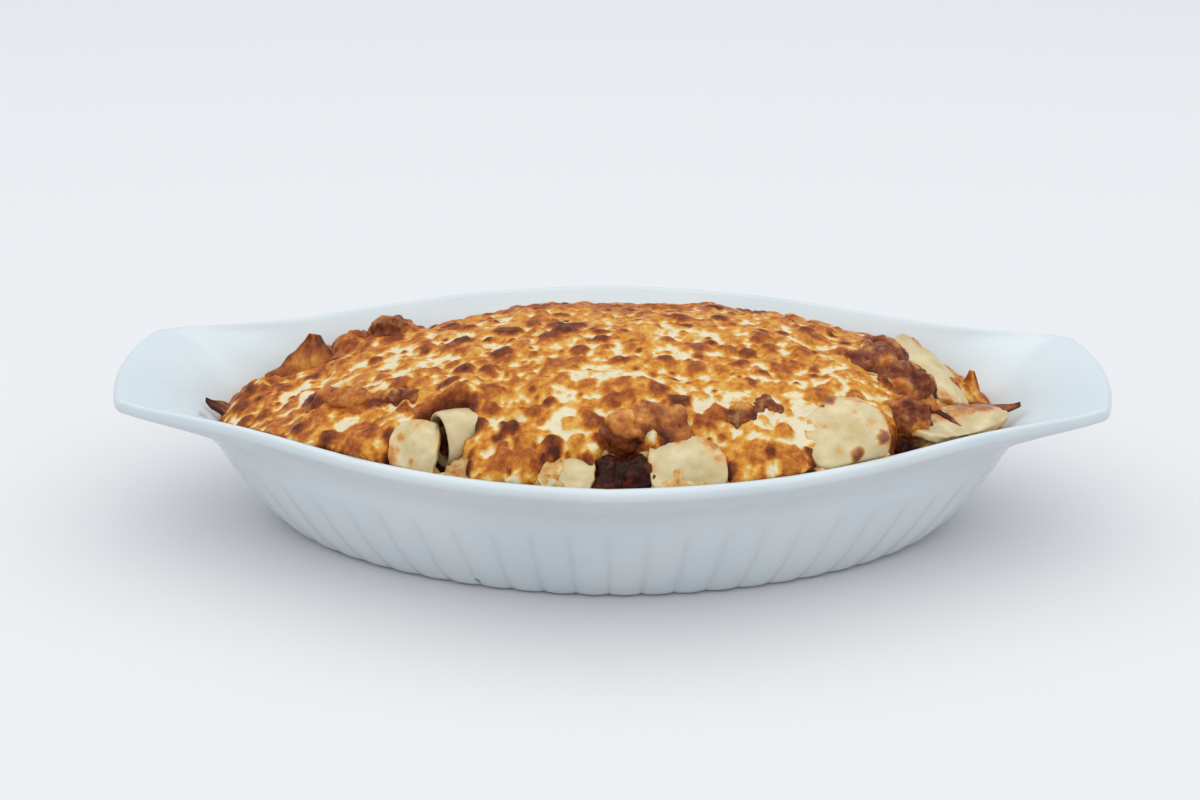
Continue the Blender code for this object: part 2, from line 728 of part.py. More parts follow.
def make_food():
    cavity = make_cavity()
    filling = make_filling(cavity, make_material("baked filling", FILLING_RED, 0.6))
    cheese = make_cheese(cavity, make_material("browned cheese", CHEESE_GOLD, 0.45))
    crust = make_material("baked crust", CRUST_BROWN, 0.5)
    pieces = make_pasta(make_material("cooked pasta", PASTA_CREAM, 0.45))
    pieces += make_meats(make_material("minced meat", MEAT_BROWN, 0.55), crust)
    pieces += make_flakes(crust)
    placed = []
    for piece in pieces:
        apply_boolean(piece, "INTERSECT", cavity)
        for pocket in placed:
            apply_boolean(piece, "DIFFERENCE", pocket)
        keep_largest(piece)
        pocket = pocket_of(piece)
        apply_boolean(filling, "DIFFERENCE", pocket)
        apply_boolean(cheese, "DIFFERENCE", pocket)
        placed.append(pocket)
    for food in (filling, cheese):
        keep_largest(food)
        merge_flat_faces(food, 2.5)
    remove([cavity, *placed])


clear_scene()
make_dish(make_material("glazed porcelain", PORCELAIN, 0.15))
make_food()
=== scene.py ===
# Baked lasagna in a white porcelain gratin dish, each piece dressed over its own solid.
# The dictionaries hold millimetres and degrees; mm turns a length into Blender's metres.

import math
import random

import bmesh
import bpy
import numpy as np
from mathutils import Matrix, Vector, noise


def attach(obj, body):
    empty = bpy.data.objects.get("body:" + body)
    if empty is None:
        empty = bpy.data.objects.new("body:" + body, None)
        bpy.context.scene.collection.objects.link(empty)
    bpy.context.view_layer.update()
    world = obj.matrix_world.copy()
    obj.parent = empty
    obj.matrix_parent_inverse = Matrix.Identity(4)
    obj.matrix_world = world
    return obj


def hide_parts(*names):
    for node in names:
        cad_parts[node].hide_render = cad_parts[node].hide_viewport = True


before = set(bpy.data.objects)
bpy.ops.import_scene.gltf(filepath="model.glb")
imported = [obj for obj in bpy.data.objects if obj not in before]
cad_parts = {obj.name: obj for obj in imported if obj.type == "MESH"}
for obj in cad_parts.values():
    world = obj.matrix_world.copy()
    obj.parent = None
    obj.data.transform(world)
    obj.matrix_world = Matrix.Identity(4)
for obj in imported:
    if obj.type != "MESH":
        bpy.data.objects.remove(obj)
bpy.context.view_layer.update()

mm = 0.001


# Small tools

def colour(hexValue):
    parts = [int(hexValue[i:i + 2], 16) / 255 for i in (0, 2, 4)]
    return tuple(p / 12.92 if p <= 0.04045 else ((p + 0.055) / 1.055) ** 2.4 for p in parts) + (1.0,)


def setInputs(tree, node, values):     # each value is a number, a colour or another node's socket
    for name, value in values.items():
        if isinstance(value, bpy.types.NodeSocket):
            tree.links.new(value, node.inputs[name])
        else:
            node.inputs[name].default_value = value


def addNode(tree, kind, inputs=None, stops=(), **settings):
    node = tree.nodes.new(kind)
    for name, value in settings.items():
        setattr(node, name, value)
    setInputs(tree, node, inputs or {})
    for i, (place, hexValue) in enumerate(stops):     # a colour ramp's stops
        stop = node.color_ramp.elements[i] if i < 2 else node.color_ramp.elements.new(place)
        stop.position = place
        stop.color = colour(hexValue)
    return node


def startMaterial(name):
    material = bpy.data.materials.new(name)
    material.use_nodes = True
    tree = material.node_tree
    where = addNode(tree, "ShaderNodeTexCoord").outputs["Object"]
    return material, tree, tree.nodes["Principled BSDF"], where


def perMetre(size):     # a noise scale whose grains are about this many millimetres across
    return 1.0 / (size * mm)


def speckledBrowning(tree, where, size, detail, roughness, swing):
    # How baked a spot is: the mesh's own browning, made uneven by specks of that many millimetres.
    done = addNode(tree, "ShaderNodeAttribute", attribute_name="brown").outputs["Fac"]
    speckle = addNode(tree, "ShaderNodeTexNoise", {"Vector": where, "Scale": perMetre(size), "Detail": detail,
                                                   "Roughness": roughness}).outputs["Fac"]
    mottle = addNode(tree, "ShaderNodeMapRange", {"Value": speckle, "From Min": 0.25, "From Max": 0.75,
                                                  "To Min": -swing, "To Max": swing})
    total = addNode(tree, "ShaderNodeMath", {0: done, 1: mottle.outputs["Result"]}, operation="ADD")
    return total.outputs["Value"], speckle


def makeObject(bm, name, material):
    mesh = bpy.data.meshes.new(name)
    bm.to_mesh(mesh)
    bm.free()
    made = bpy.data.objects.new(name, mesh)
    bpy.context.scene.collection.objects.link(made)
    mesh.materials.append(material)
    return made


def finishPiece(bm, name, material, node):
    bmesh.ops.recalc_face_normals(bm, faces=bm.faces[:])
    piece = makeObject(bm, name, material)
    piece.data.shade_smooth()
    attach(piece, "root")
    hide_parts(node)
    return piece


def settle(piece):     # makes the modifiers' result the piece's own mesh
    bpy.context.view_layer.update()
    graph = bpy.context.evaluated_depsgraph_get()
    piece.data = bpy.data.meshes.new_from_object(piece.evaluated_get(graph))
    piece.modifiers.clear()
    piece.data.shade_smooth()


def readPoints(mesh):
    points = np.empty(len(mesh.vertices) * 3, np.float32)
    mesh.vertices.foreach_get("co", points)
    return points.reshape(-1, 3).astype(float)


def writePoints(mesh, points):
    mesh.vertices.foreach_set("co", points.astype(np.float32).ravel())
    mesh.update()


def writeField(mesh, name, values):
    field = mesh.attributes.new(name, "FLOAT", "POINT")
    field.data.foreach_set("value", values.astype(np.float32))


def smoothStep(low, high, x):
    t = np.clip((x - low) / (high - low), 0.0, 1.0)
    return t * t * (3.0 - 2.0 * t)


def ripple(x, y, size, seed):     # smooth noise from about -1 to 1, size mm from bump to bump
    cells = 256
    u, v = x / size + cells / 4, y / size + cells / 4
    i, j = np.floor(u).astype(int), np.floor(v).astype(int)
    fu, fv = u - i, v - j
    turns = np.random.default_rng(seed).uniform(0.0, 2.0 * np.pi, (cells, cells))

    def corner(a, b):
        turn = turns[(i + a) % cells, (j + b) % cells]
        return np.cos(turn) * (fu - a) + np.sin(turn) * (fv - b)

    su = fu ** 3 * (fu * (fu * 6.0 - 15.0) + 10.0)
    sv = fv ** 3 * (fv * (fv * 6.0 - 15.0) + 10.0)
    low = corner(0, 0) * (1.0 - su) + corner(1, 0) * su
    high = corner(0, 1) * (1.0 - su) + corner(1, 1) * su
    return 1.6 * (low * (1.0 - sv) + high * sv)


def noiseAt(points, size, seed):     # the same in three dimensions, for lumps
    shift = Vector((seed * 7.3, seed * 1.7, seed * 4.1))
    return np.array([noise.noise(Vector(p) / size + shift) for p in points])


fieldHalf = (116.0, 78.0)     # half the size of the regular fields that shape the food


def fieldGrid(step):
    halfX, halfY = fieldHalf
    return np.meshgrid(np.arange(-halfX, halfX, step), np.arange(-halfY, halfY, step))


def readBetween(table, row, column):     # a table's value at a place between its entries
    i, j = np.floor(row).astype(int), np.floor(column).astype(int)
    fi, fj = row - i, column - j
    under = table[i, j] * (1 - fj) + table[i, j + 1] * fj
    over = table[i + 1, j] * (1 - fj) + table[i + 1, j + 1] * fj
    return under * (1 - fi) + over * fi


def sampleGrid(grid, step, x, y):     # a regular field's value at a place on the food
    return readBetween(grid, (y + fieldHalf[1]) / step, (x + fieldHalf[0]) / step)


# Dish: porcelain, slip cast with a fluted wall, glazed and fired

dish = dict(length=280, sideArcRadius=137, sideArcHalfWidth=75.85, earStart=104, earHalfWidth=38.5,
            earTaper=0.28, earBlend=6.6, earEndSag=4.7, earSagWidth=29, earSharpness=33,
            rimHeight=43, rimRise=3.1, riseStart=20, risePower=2.7, lipRadius=1.9, wall=4.4, floor=5.5,
            footHalfLength=92, footHalfWidth=51.4, footPower=1.83,
            footRing=((0.915, 1.2), (0.922, 1), (0.927, 0.35), (0.935, 0.04), (0.95, 0), (0.97, 0)),
            footTuck=0.015, tuckHeight=1.2,
            wallRows=(0, 0.12, 0.35, 0.7, 1.2, 2.4, 4, 6, 8, 10, 12, 14, 16, 18, 20, 22,
                      24, 25),
            shoulder=15, lipSteps=9, flat=0.82, earFlat=0.37, floorInset=3, floorRound=(1.2, 0.7),
            flutes=52, perFlute=12, fluteDepth=1.1, fluteTop=26, fluteFade=7, fluteSpread=0.24,
            spreadPower=0.68, ribPower=0.6, ribLevel=0.65, cornerWeight=14,
            glaze="D8DBDD", shade="D0D5D8", pinhole=(-35.5, -49, 3), pinholeShade="5F6A72")


def footRadius(angle):
    along = abs(math.cos(angle) / dish["footHalfLength"]) ** dish["footPower"]
    across = abs(math.sin(angle) / dish["footHalfWidth"]) ** dish["footPower"]
    return (along + across) ** (-1.0 / dish["footPower"])


def rimHalfWidth(x):
    radius, half, blend = dish["sideArcRadius"], dish["sideArcHalfWidth"], dish["earBlend"]
    x = min(abs(x), radius)
    arc = math.sqrt(radius ** 2 - x ** 2) - (radius - half)
    ear = dish["earHalfWidth"] - dish["earTaper"] * (x - dish["earStart"])
    high = max(arc, ear)
    return high + blend * math.log(math.exp((arc - high) / blend) + math.exp((ear - high) / blend))


def rimRadius(angle):
    along, across = abs(math.cos(angle)), abs(math.sin(angle))
    low, high = 1.0, 400.0
    for _ in range(40):
        middle = (low + high) / 2
        if middle * across < rimHalfWidth(middle * along):
            low = middle
        else:
            high = middle
    side = low
    half = dish["length"] / 2
    end = half / max(along, 1e-6)
    for _ in range(6):
        sag = dish["earEndSag"] * min((end * across / dish["earSagWidth"]) ** 2, 6.0)
        end = (half - sag) / max(along, 1e-6)
    sharp = dish["earSharpness"]
    near = min(side, end)
    return near * ((near / side) ** sharp + (near / end) ** sharp) ** (-1.0 / sharp)


def rimTop(x):
    beyond = max(abs(x) - dish["riseStart"], 0.0) / (dish["length"] / 2 - dish["riseStart"])
    return dish["rimHeight"] + dish["rimRise"] * beyond ** dish["risePower"]


def spacedAngles(radiusOf, count, cornerWeight):     # even steps round an outline, closer at its bends
    samples = 1440
    points = []
    for i in range(samples + 1):
        angle = 2 * math.pi * i / samples
        points.append(Vector((math.cos(angle), math.sin(angle))) * radiusOf(angle))
    run = [0.0]
    for i in range(samples):
        here = points[i + 1] - points[i]
        after = points[(i + 1) % samples + 1] - points[(i + 1) % samples]
        run.append(run[-1] + here.length + cornerWeight * abs(here.angle(after, 0.0)))
    return np.interp(np.arange(count) * run[-1] / count, run, np.arange(samples + 1) * 2 * math.pi / samples)


def wallSpread(height):     # how far the fluted wall has widened, against the foot's outline
    return 1.0 + dish["fluteSpread"] * (max(height, 0.0) / dish["fluteTop"]) ** dish["spreadPower"]


def fluteOffset(share, height):     # ribs stand out between narrow grooves, and fade out under a plain band
    fade = min(max((dish["fluteTop"] - height) / dish["fluteFade"], 0.0), 1.0)
    fade = fade * fade * (3 - 2 * fade)
    return dish["fluteDepth"] * (abs(math.sin(math.pi * share)) ** dish["ribPower"] - dish["ribLevel"]) * fade


def wallSection(footAngle, rimAngle, share):
    # One column as radius, height and angle: from the foot's recess over the lip, then down the inside.
    foot, top, lip = footRadius(footAngle), dish["fluteTop"], dish["lipRadius"]
    under = [(foot * scale, height, footAngle) for scale, height in dish["footRing"]]
    outer = []
    for height in dish["wallRows"]:
        scale = wallSpread(height) - dish["footTuck"] * max(1.0 - height / dish["tuckHeight"], 0.0)
        outer.append((foot * scale, height, footAngle))
    start = Vector((foot * wallSpread(top), top))
    rim = rimRadius(rimAngle)
    centre = Vector((rim - lip, rimTop(rim * math.cos(rimAngle)) - lip))
    chord = centre - start
    flat = math.atan2(chord.y, chord.x) * (dish["flat"] - dish["earFlat"] * abs(math.cos(rimAngle)) ** 6)
    tangent = Vector((math.cos(flat), math.sin(flat)))
    inward = Vector((-tangent.y, tangent.x))
    end = centre - inward * lip
    rise = Vector((foot * (wallSpread(top) - wallSpread(22.0)), 4.0)).normalized()
    reach = (end - start).length / 3
    knots = (start, start + rise * reach, end - tangent * reach, end)
    for k in range(dish["shoulder"]):
        t = k / (dish["shoulder"] - 1)
        at = knots[0] * (1 - t) ** 3 + knots[1] * 3 * (1 - t) ** 2 * t
        at += knots[2] * 3 * (1 - t) * t ** 2 + knots[3] * t ** 3
        outer.append((at.x, at.y, footAngle + (rimAngle - footAngle) * t))
    lipRows = []
    for k in range(1, dish["lipSteps"]):
        swing = math.pi * k / dish["lipSteps"]
        at = centre - inward * lip * math.cos(swing) + tangent * lip * math.sin(swing)
        lipRows.append((at.x, at.y, rimAngle))
    inner = []
    line = np.array(outer)
    slope = np.gradient(line[:, :2], axis=0)
    slope /= np.linalg.norm(slope, axis=1)[:, None]
    for k in range(len(outer) - 1, 7, -2):
        thick = 2 * lip + (dish["wall"] - 2 * lip) * min((len(outer) - 1 - k) / 6, 1.0)
        inner.append((line[k, 0] - slope[k, 1] * thick, line[k, 1] + slope[k, 0] * thick, line[k, 2]))
    floorRadius, (out, up) = foot * wallSpread(5.0) - dish["wall"] - dish["floorInset"], dish["floorRound"]
    inner += [(floorRadius + out, dish["floor"] + up, footAngle), (floorRadius, dish["floor"], footAngle)]
    fluted = [(radius + fluteOffset(share, height), height, angle) for radius, height, angle in outer]
    return under + fluted + lipRows, inner


def porcelainMaterial():
    # Hard white porcelain under clear glaze: cold white, mirror-smooth but for a faint orange peel.
    material, tree, shader, where = startMaterial("glazed_porcelain")
    tone = addNode(tree, "ShaderNodeTexNoise", {"Vector": where, "Scale": perMetre(34), "Detail": 3.0})
    body = addNode(tree, "ShaderNodeValToRGB", {"Fac": tone.outputs["Fac"]},
                   stops=((0.3, dish["shade"]), (0.7, dish["glaze"])))
    spot = [value * mm for value in dish["pinhole"]]     # one dark speck left in the glaze, low on the front
    reach = addNode(tree, "ShaderNodeVectorMath", {0: where, 1: spot}, operation="DISTANCE")
    speck = addNode(tree, "ShaderNodeMapRange", {"Value": reach.outputs["Value"], "From Min": 0.5 * mm,
                                                  "From Max": 1.1 * mm, "To Min": 1.0, "To Max": 0.0})
    mixed = addNode(tree, "ShaderNodeMix", {"Factor": speck.outputs["Result"], "A": body.outputs["Color"],
                                            "B": colour(dish["pinholeShade"])}, data_type="RGBA")
    wave = addNode(tree, "ShaderNodeTexNoise", {"Vector": where, "Scale": perMetre(9), "Detail": 2.0})
    bump = addNode(tree, "ShaderNodeBump", {"Height": wave.outputs["Fac"], "Strength": 0.25,
                                            "Distance": 0.25 * mm})
    smear = addNode(tree, "ShaderNodeMapRange", {"Value": tone.outputs["Fac"], "To Min": 0.1, "To Max": 0.2})
    setInputs(tree, shader, {"Base Color": mixed.outputs["Result"], "Roughness": smear.outputs["Result"],
                             "IOR": 1.52, "Normal": bump.outputs["Normal"]})
    return material


def sleeve(columns, rows):
    # A closed tube of rings: a capped circle carried on row by row, each vertex knowing its row and column.
    bm = bmesh.new()
    rowLayer = bm.verts.layers.int.new("row")
    columnLayer = bm.verts.layers.int.new("column")
    for k, vert in enumerate(bmesh.ops.create_circle(bm, segments=columns, radius=1.0)["verts"]):
        vert[columnLayer] = k
    edges = bm.edges[:]
    bmesh.ops.holes_fill(bm, edges=edges, sides=0)
    for row in range(1, rows):
        made = bmesh.ops.extrude_edge_only(bm, edges=edges)["geom"]
        for item in made:
            if isinstance(item, bmesh.types.BMVert):
                item[rowLayer] = row
        edges = [item for item in made if isinstance(item, bmesh.types.BMEdge) and len(item.link_faces) == 1]
    bmesh.ops.holes_fill(bm, edges=edges, sides=0)
    return bm, rowLayer, columnLayer


def makeDish():
    columns = dish["flutes"] * dish["perFlute"]
    footAngles = spacedAngles(footRadius, columns, 0.0)
    rimAngles = spacedAngles(rimRadius, columns, dish["cornerWeight"])
    sections = []
    for k in range(columns):
        share = (k % dish["perFlute"]) / dish["perFlute"]
        outside, inside = wallSection(footAngles[k], rimAngles[k], share)
        sections.append(outside + inside)
    table = np.array(sections)     # column, row, then radius, height and angle
    bm, rowLayer, columnLayer = sleeve(columns, table.shape[1])
    for vert in bm.verts:
        radius, height, angle = table[vert[columnLayer], vert[rowLayer]]
        vert.co = Vector((radius * math.cos(angle), radius * math.sin(angle), height)) * mm
    finishPiece(bm, "glazed_dish", porcelainMaterial(), "dish")
    return table[:, len(outside):]


def innerWall(inner):     # the wall's inner radius by angle and height, for trimming the food
    angles = np.linspace(-math.pi, math.pi, 361)
    heights = np.arange(14.0, 46.0, 1.0)
    found = np.empty((len(angles), len(heights)))
    turn = (inner[:, 0, 2] + math.pi) % (2 * math.pi) - math.pi
    order = np.argsort(turn)
    for h, height in enumerate(heights):
        radius = np.array([np.interp(height, column[::-1, 1], column[::-1, 0]) for column in inner])
        found[:, h] = np.interp(angles, turn[order], radius[order], period=2 * math.pi)
    return angles, heights, found


wallAngles, wallHeights, wallRadii = innerWall(makeDish())
print("dish: fluted porcelain made")


# Bake: the dome of filling and cheese, whose formula the solids share

bake = dict(halfLength=111, halfWidth=72.5, power=2.2, crestBack=10, crest=61, end=31, frontSide=41,
            backSide=36.5, front=2.25, back=1.25, right=2.7, left=1.65, cheese=3.2,
            hollows=((-56, 46, 24, 7), (62, 46, 22, 4), (-100, 14, 20, 3)),
            bays=((-47, -64.5, 10.5, 13), (-43, -53, 7.5, 6.5), (64, -61, 10, 9),
                  (-11, -72, 8, 6.5), (4, -71, 8.5, 12), (21, -71, 10, 11),
                  (89, -49, 14, 19), (101, -18, 11, 13), (-79, -56, 6, 5)),
            sinks=((3.5, -67.5, 9, 9, 7.5), (-40.5, -63.5, 12, 11, 1.2), (-45, -54.5, 9, 7.5, 9),
                   (80.5, -47, 7, 9, 7)),
            overlap=0.25)


def bakeReach(x, y):     # 0 over the crest and 1 at the food's edge, and the heading from the crest
    shifted = y + bake["crestBack"] * (1.0 - (y / bake["halfWidth"]) ** 2)
    u, v, power = x / bake["halfLength"], shifted / bake["halfWidth"], bake["power"]
    return (np.abs(u) ** power + np.abs(v) ** power) ** (1.0 / power), np.arctan2(v, u)


def bakeTop(x, y):
    reach, angle = bakeReach(x, y)
    along, across = np.cos(angle) ** 2, np.sin(angle) ** 2
    fullness = along * np.where(x > 0, bake["right"], bake["left"])
    fullness = fullness + across * np.where(y < -bake["crestBack"], bake["front"], bake["back"])
    side = np.where(angle > 0, bake["backSide"], bake["frontSide"])
    edge = bake["end"] + (side - bake["end"]) * across ** 0.7
    rise = bake["crest"] - edge
    for hx, hy, radius, depth in bake["hollows"]:
        edge = edge - depth * np.exp(-2.0 * ((x - hx) ** 2 + (y - hy) ** 2) / radius ** 2)
    inside = np.clip(1.0 - np.minimum(reach, 1.0) ** fullness, 0.0, 1.0)
    places = np.column_stack([np.ravel(x), np.ravel(y)])
    lumps = [1.5 * noise.noise(Vector((a / 19.0, b / 15.0, 3.1)))
             + 0.8 * noise.noise(Vector((a / 8.0, b / 7.0, 8.4))) for a, b in places]
    lumps = np.reshape(lumps, np.shape(x)) * smoothStep(1.0, 0.985, reach)
    return edge + rise * inside ** 0.8 + lumps - 60.0 * np.maximum(reach - 1.0, 0.0)


def bayDistance(x, y):     # millimetres outside the nearest bay, negative inside one, with a torn edge
    nearest = np.full(np.shape(x), 1e3)
    for bx, by, w, d in bake["bays"]:
        away = (np.hypot((x - bx) / w, (y - by) / d) - 1.0) * min(w, d)
        nearest = np.minimum(nearest, away)
    return nearest + 1.3 * ripple(x, y, 6.0, 41) + 0.6 * ripple(x, y, 2.4, 42)


def sunk(x, y):     # how deep the filling has sunk in the crater and beside the roll
    depth = np.zeros(np.shape(x))
    for sx, sy, w, d, deep in bake["sinks"]:
        inside = np.hypot((x - sx) / w, (y - sy) / d) + 0.22 * ripple(x, y, 4.0, 25)
        depth = np.maximum(depth, deep * smoothStep(1.05, 0.6, inside))
    return depth


def layerGrid(step):
    # A grid at the crest's height, cut to the food's outline, with its border moved onto it.
    columns, rows = math.ceil(226.0 / step), math.ceil(150.0 / step)
    bm = bmesh.new()
    bmesh.ops.create_grid(bm, x_segments=columns, y_segments=rows, size=1.0)
    bmesh.ops.scale(bm, vec=(columns * step / 2 * mm, rows * step / 2 * mm, 1.0), verts=bm.verts[:])
    bmesh.ops.translate(bm, vec=(0.0, 0.0, bake["crest"] * mm), verts=bm.verts[:])
    outside = []
    for vert in bm.verts:
        if bakeReach(vert.co.x / mm, vert.co.y / mm)[0] > 1.0:
            outside.append(vert)
    bmesh.ops.delete(bm, geom=outside, context="VERTS")
    bmesh.ops.delete(bm, geom=[vert for vert in bm.verts if not vert.link_faces], context="VERTS")
    for vert in [vert for vert in bm.verts if vert.is_boundary]:
        for _ in range(4):
            vert.co.xy *= 1.0 + 0.97 * (1.0 / bakeReach(vert.co.x / mm, vert.co.y / mm)[0] - 1.0)
    return bm


def closeUnder(bm, level):
    # A skirt and a flat underside at that height, their vertices marked as under.
    under = bm.verts.layers.int.new("under")
    border = [edge for edge in bm.edges if edge.is_boundary]
    last = 1.0
    for scale in (1.0, 0.8, 0.5, 0.2):
        made = bmesh.ops.extrude_edge_only(bm, edges=border)["geom"]
        for vert in made:
            if isinstance(vert, bmesh.types.BMVert):
                vert[under] = 1
                vert.co = Vector((vert.co.x * scale / last, vert.co.y * scale / last, level * mm))
        border = [item for item in made if isinstance(item, bmesh.types.BMEdge) and len(item.link_faces) == 1]
        last = scale
    bmesh.ops.holes_fill(bm, edges=border, sides=0)


def topOf(mesh):     # which vertices aren't marked as under
    marks = np.empty(len(mesh.vertices), np.int32)
    mesh.attributes["under"].data.foreach_get("value", marks)
    return marks == 0


def trimToWall(points, into):     # keeps food within the inner wall, or that far into it
    angle = np.arctan2(points[:, 1], points[:, 0])
    radius = np.hypot(points[:, 0], points[:, 1])
    lastAngle, lastHeight = len(wallAngles) - 1, len(wallHeights) - 1
    row = np.interp(angle, wallAngles, np.arange(lastAngle + 1))
    column = np.interp(points[:, 2], wallHeights, np.arange(lastHeight + 1))
    room = readBetween(wallRadii, np.clip(row, 0, lastAngle - 0.001), np.clip(column, 0, lastHeight - 0.001))
    squeeze = np.minimum((room + into) / np.maximum(radius, 1e-6), 1.0)
    points[:, 0] *= squeeze
    points[:, 1] *= squeeze
    return points


def trimPiece(piece):
    writePoints(piece.data, trimToWall(readPoints(piece.data) / mm, -bake["overlap"]) * mm)


# Cheese: bechamel and grated cheese, baked until it blistered and browned

cheese = dict(step=0.62, underside=20.0, blisters=1250, radius=(0.8, 3.8), height=(0.5, 1.9), seed=11,
              meltWidth=4.0, bayDrop=3.6, bayBrown=0.26, bayWidth=2.6, cream="EEDCBA", pale="EACB90",
              butter="E6B256", golden="E0942F", amber="BC6420", brown="8E4216", dark="54220D")
namedBlisters = (     # the ones that the eye picks out: x, y, radius, height, doneness
    (24.8, -54.9, 3.4, 1.9, 0.72), (-27.5, -66, 3.8, 2.2, 0.62), (-20.5, -67, 3.4, 2.2, 0.56),
    (-22, -61.8, 3, 2, 0.54), (-34.7, -54.6, 3.2, 2.2, 0.84), (-25.4, -57, 3.2, 1.8, 0.95),
    (-16.9, -14.1, 3.8, 2, 0.85), (-77.5, 12, 4.2, 1, 0.5), (45.4, -55, 2.9, 1.8, 0.62),
    (28.2, -51.8, 3.6, 1.8, 0.72), (52, -19, 3.6, 1.8, 0.6), (-52, -8, 3.2, 1.8, 0.66),
    (-8, -62, 2.6, 1.5, 0.5), (-44, -46, 4, 1.2, 0.62), (-37, -47.8, 3.2, 1.4, 0.7),
    (-50.5, -47, 3.4, 1.2, 0.6), (37, -62.5, 3.4, 1.2, 0.5), (48.5, -61, 3, 1.2, 0.56),
    (-103.5, -13.5, 2.8, 1.3, 0.85), (-83.4, -42, 2.6, 1, 0.9), (-68.3, -39, 3.4, 1.2, 0.66),
    (-62.8, 24, 3.6, 1.4, 0.8), (-27.6, -6.5, 3, 1.6, 0.9), (-13, -8.5, 4.2, 1.8, 0.9),
    (-2.7, -18.5, 3, 1.5, 0.88), (-40.9, 3.5, 3, 1.5, 0.82), (-39.7, -29.5, 3.2, 1.6, 0.84),
    (-14.6, -63, 3, 1.5, 0.85), (-9, -30, 3.4, 1.7, 0.62), (2.4, -30.3, 3, 1.5, 0.76),
    (-5.7, -41.8, 2.8, 1.4, 0.56), (-43.5, -38.6, 3.4, 1.4, 0.8), (-16.7, -35.5, 2.6, 1.3, 0.55),
    (-19.8, -51.5, 3, 1.5, 0.7), (-31, -50, 2.8, 1.5, 0.7), (-92.6, 21, 2.6, 1.3, 0.8),
    (-96.5, 13, 2.4, 1.2, 0.85), (-62.5, -23.5, 3, 1.4, 0.74), (-8.1, 14.5, 2.4, 1.1, 0.85),
    (-21.9, -1, 2.4, 1.2, 0.8), (3.4, -42.5, 3, 1.4, 0.6), (-66.1, -53.5, 4, 1.4, 0.5),
    (-74, -48.5, 3, 1.3, 0.8), (47.9, -4.5, 2.2, 1.1, 0.85), (34.8, -29.5, 3, 1.5, 0.76),
    (23, -33.5, 3.2, 1.5, 0.62), (55.3, -40.5, 3.6, 1.6, 0.58), (31.8, -21.5, 3.4, 1.6, 0.66),
    (74.3, 7, 3, 1.4, 0.85), (19.1, 0.5, 4, 1.8, 0.8), (43.3, -18.5, 2.6, 1.3, 0.7), (-9.7, -57, 3, 1.3, 0.5),
    (12.9, -44.6, 3.4, 1.6, 0.74), (1.1, -48.6, 3.4, 1.5, 0.72), (45.8, -34, 2.4, 1.2, 0.55),
    (12.2, -32, 2.8, 1.3, 0.5), (53.9, -9, 3, 1.4, 0.5), (15.5, -19.5, 2.6, 1.2, 0.6),
    (-88, -24, 3.2, 1.2, 0.7), (-96, -24, 3, 1.2, 0.76),
)
brownFields = (     # crusts and pale pools: x, y, half length, half depth, heading, how much browner
    (41, -65.5, 13, 3, 8, 0.2), (-24, -64.5, 8.5, 5.5, 0, 0.34), (-42, -46.5, 10, 3.6, -8, 0.34),
    (-65, -52, 14, 6, 25, 0.4), (-101, -5, 11, 12, 0, 0.34), (-84, -38, 16, 9, 35, 0.3),
    (0, 40, 76, 15, 0, 0.34), (-17, -14, 7, 6, 0, 0.25), (-80, 12, 14, 18, 0, 0.34), (8, -50, 14, 4, 0, 0.2),
    (84, 5, 12, 22, 0, 0.24), (-20, -38, 10, 7, 20, 0.22), (0, -36, 11, 5, 0, -0.24),
    (46, -52, 11, 7, 10, -0.4), (-10, -57, 6, 7, 0, -0.36), (-58, -24, 12, 4, 25, -0.44),
    (-80, -22, 11, 4, 30, -0.44), (-66, -44, 8, 3, 20, -0.4), (-86, -14, 8, 3, 30, -0.36),
    (-62, -8, 8, 4, 20, -0.36), (-38, -18, 9, 4, 0, -0.34), (20, -12, 12, 4, 0, -0.24),
    (27, -50, 5, 5, 0, -0.3), (-88, 2, 8, 3, 30, -0.2), (-56, -50, 5, 4, 0, -0.36),
)
swells = (     # where a roll or a lump pushes the cheese up: x, y, radius, height
    (-41, -45, 11, 4.2), (-101, -4, 11, 4.6), (-93, -12, 9, 1.8), (-77.5, 12, 6.5, 4), (-68, 8, 14, 2.4),
    (9, -47, 13, 2), (66, -38, 12, 1.8), (36.5, -49.5, 9, 1.8), (-20, 30, 16, 1.4), (28, 34, 14, 1.2),
    (-73, -31, 12, 1.8), (-24, -63, 8, 1.6), (-62, -52, 9, 1.6), (42, -60, 10, 1.4),
)


def scatterBlisters():
    rng = random.Random(cheese["seed"])
    found = list(namedBlisters)
    for _ in range(cheese["blisters"] * 12):
        x, y = rng.uniform(-109, 109), rng.uniform(-72, 72)
        radius = cheese["radius"][0] + (cheese["radius"][1] - cheese["radius"][0]) * rng.random() ** 2.0
        tall = rng.uniform(*cheese["height"]) * (0.4 + 0.6 * radius / cheese["radius"][1])
        done = min(max(rng.gauss(0.58, 0.2) - 0.0004 * x + 0.04 * (radius - 2.2), 0.12), 0.9)
        if bakeReach(x, y)[0] > 0.985:
            continue
        if any((x - b[0]) ** 2 + (y - b[1]) ** 2 < (0.66 * (radius + b[2])) ** 2 for b in found):
            continue
        found.append((x, y, radius, tall, done))
        if len(found) == cheese["blisters"]:
            break
    return found


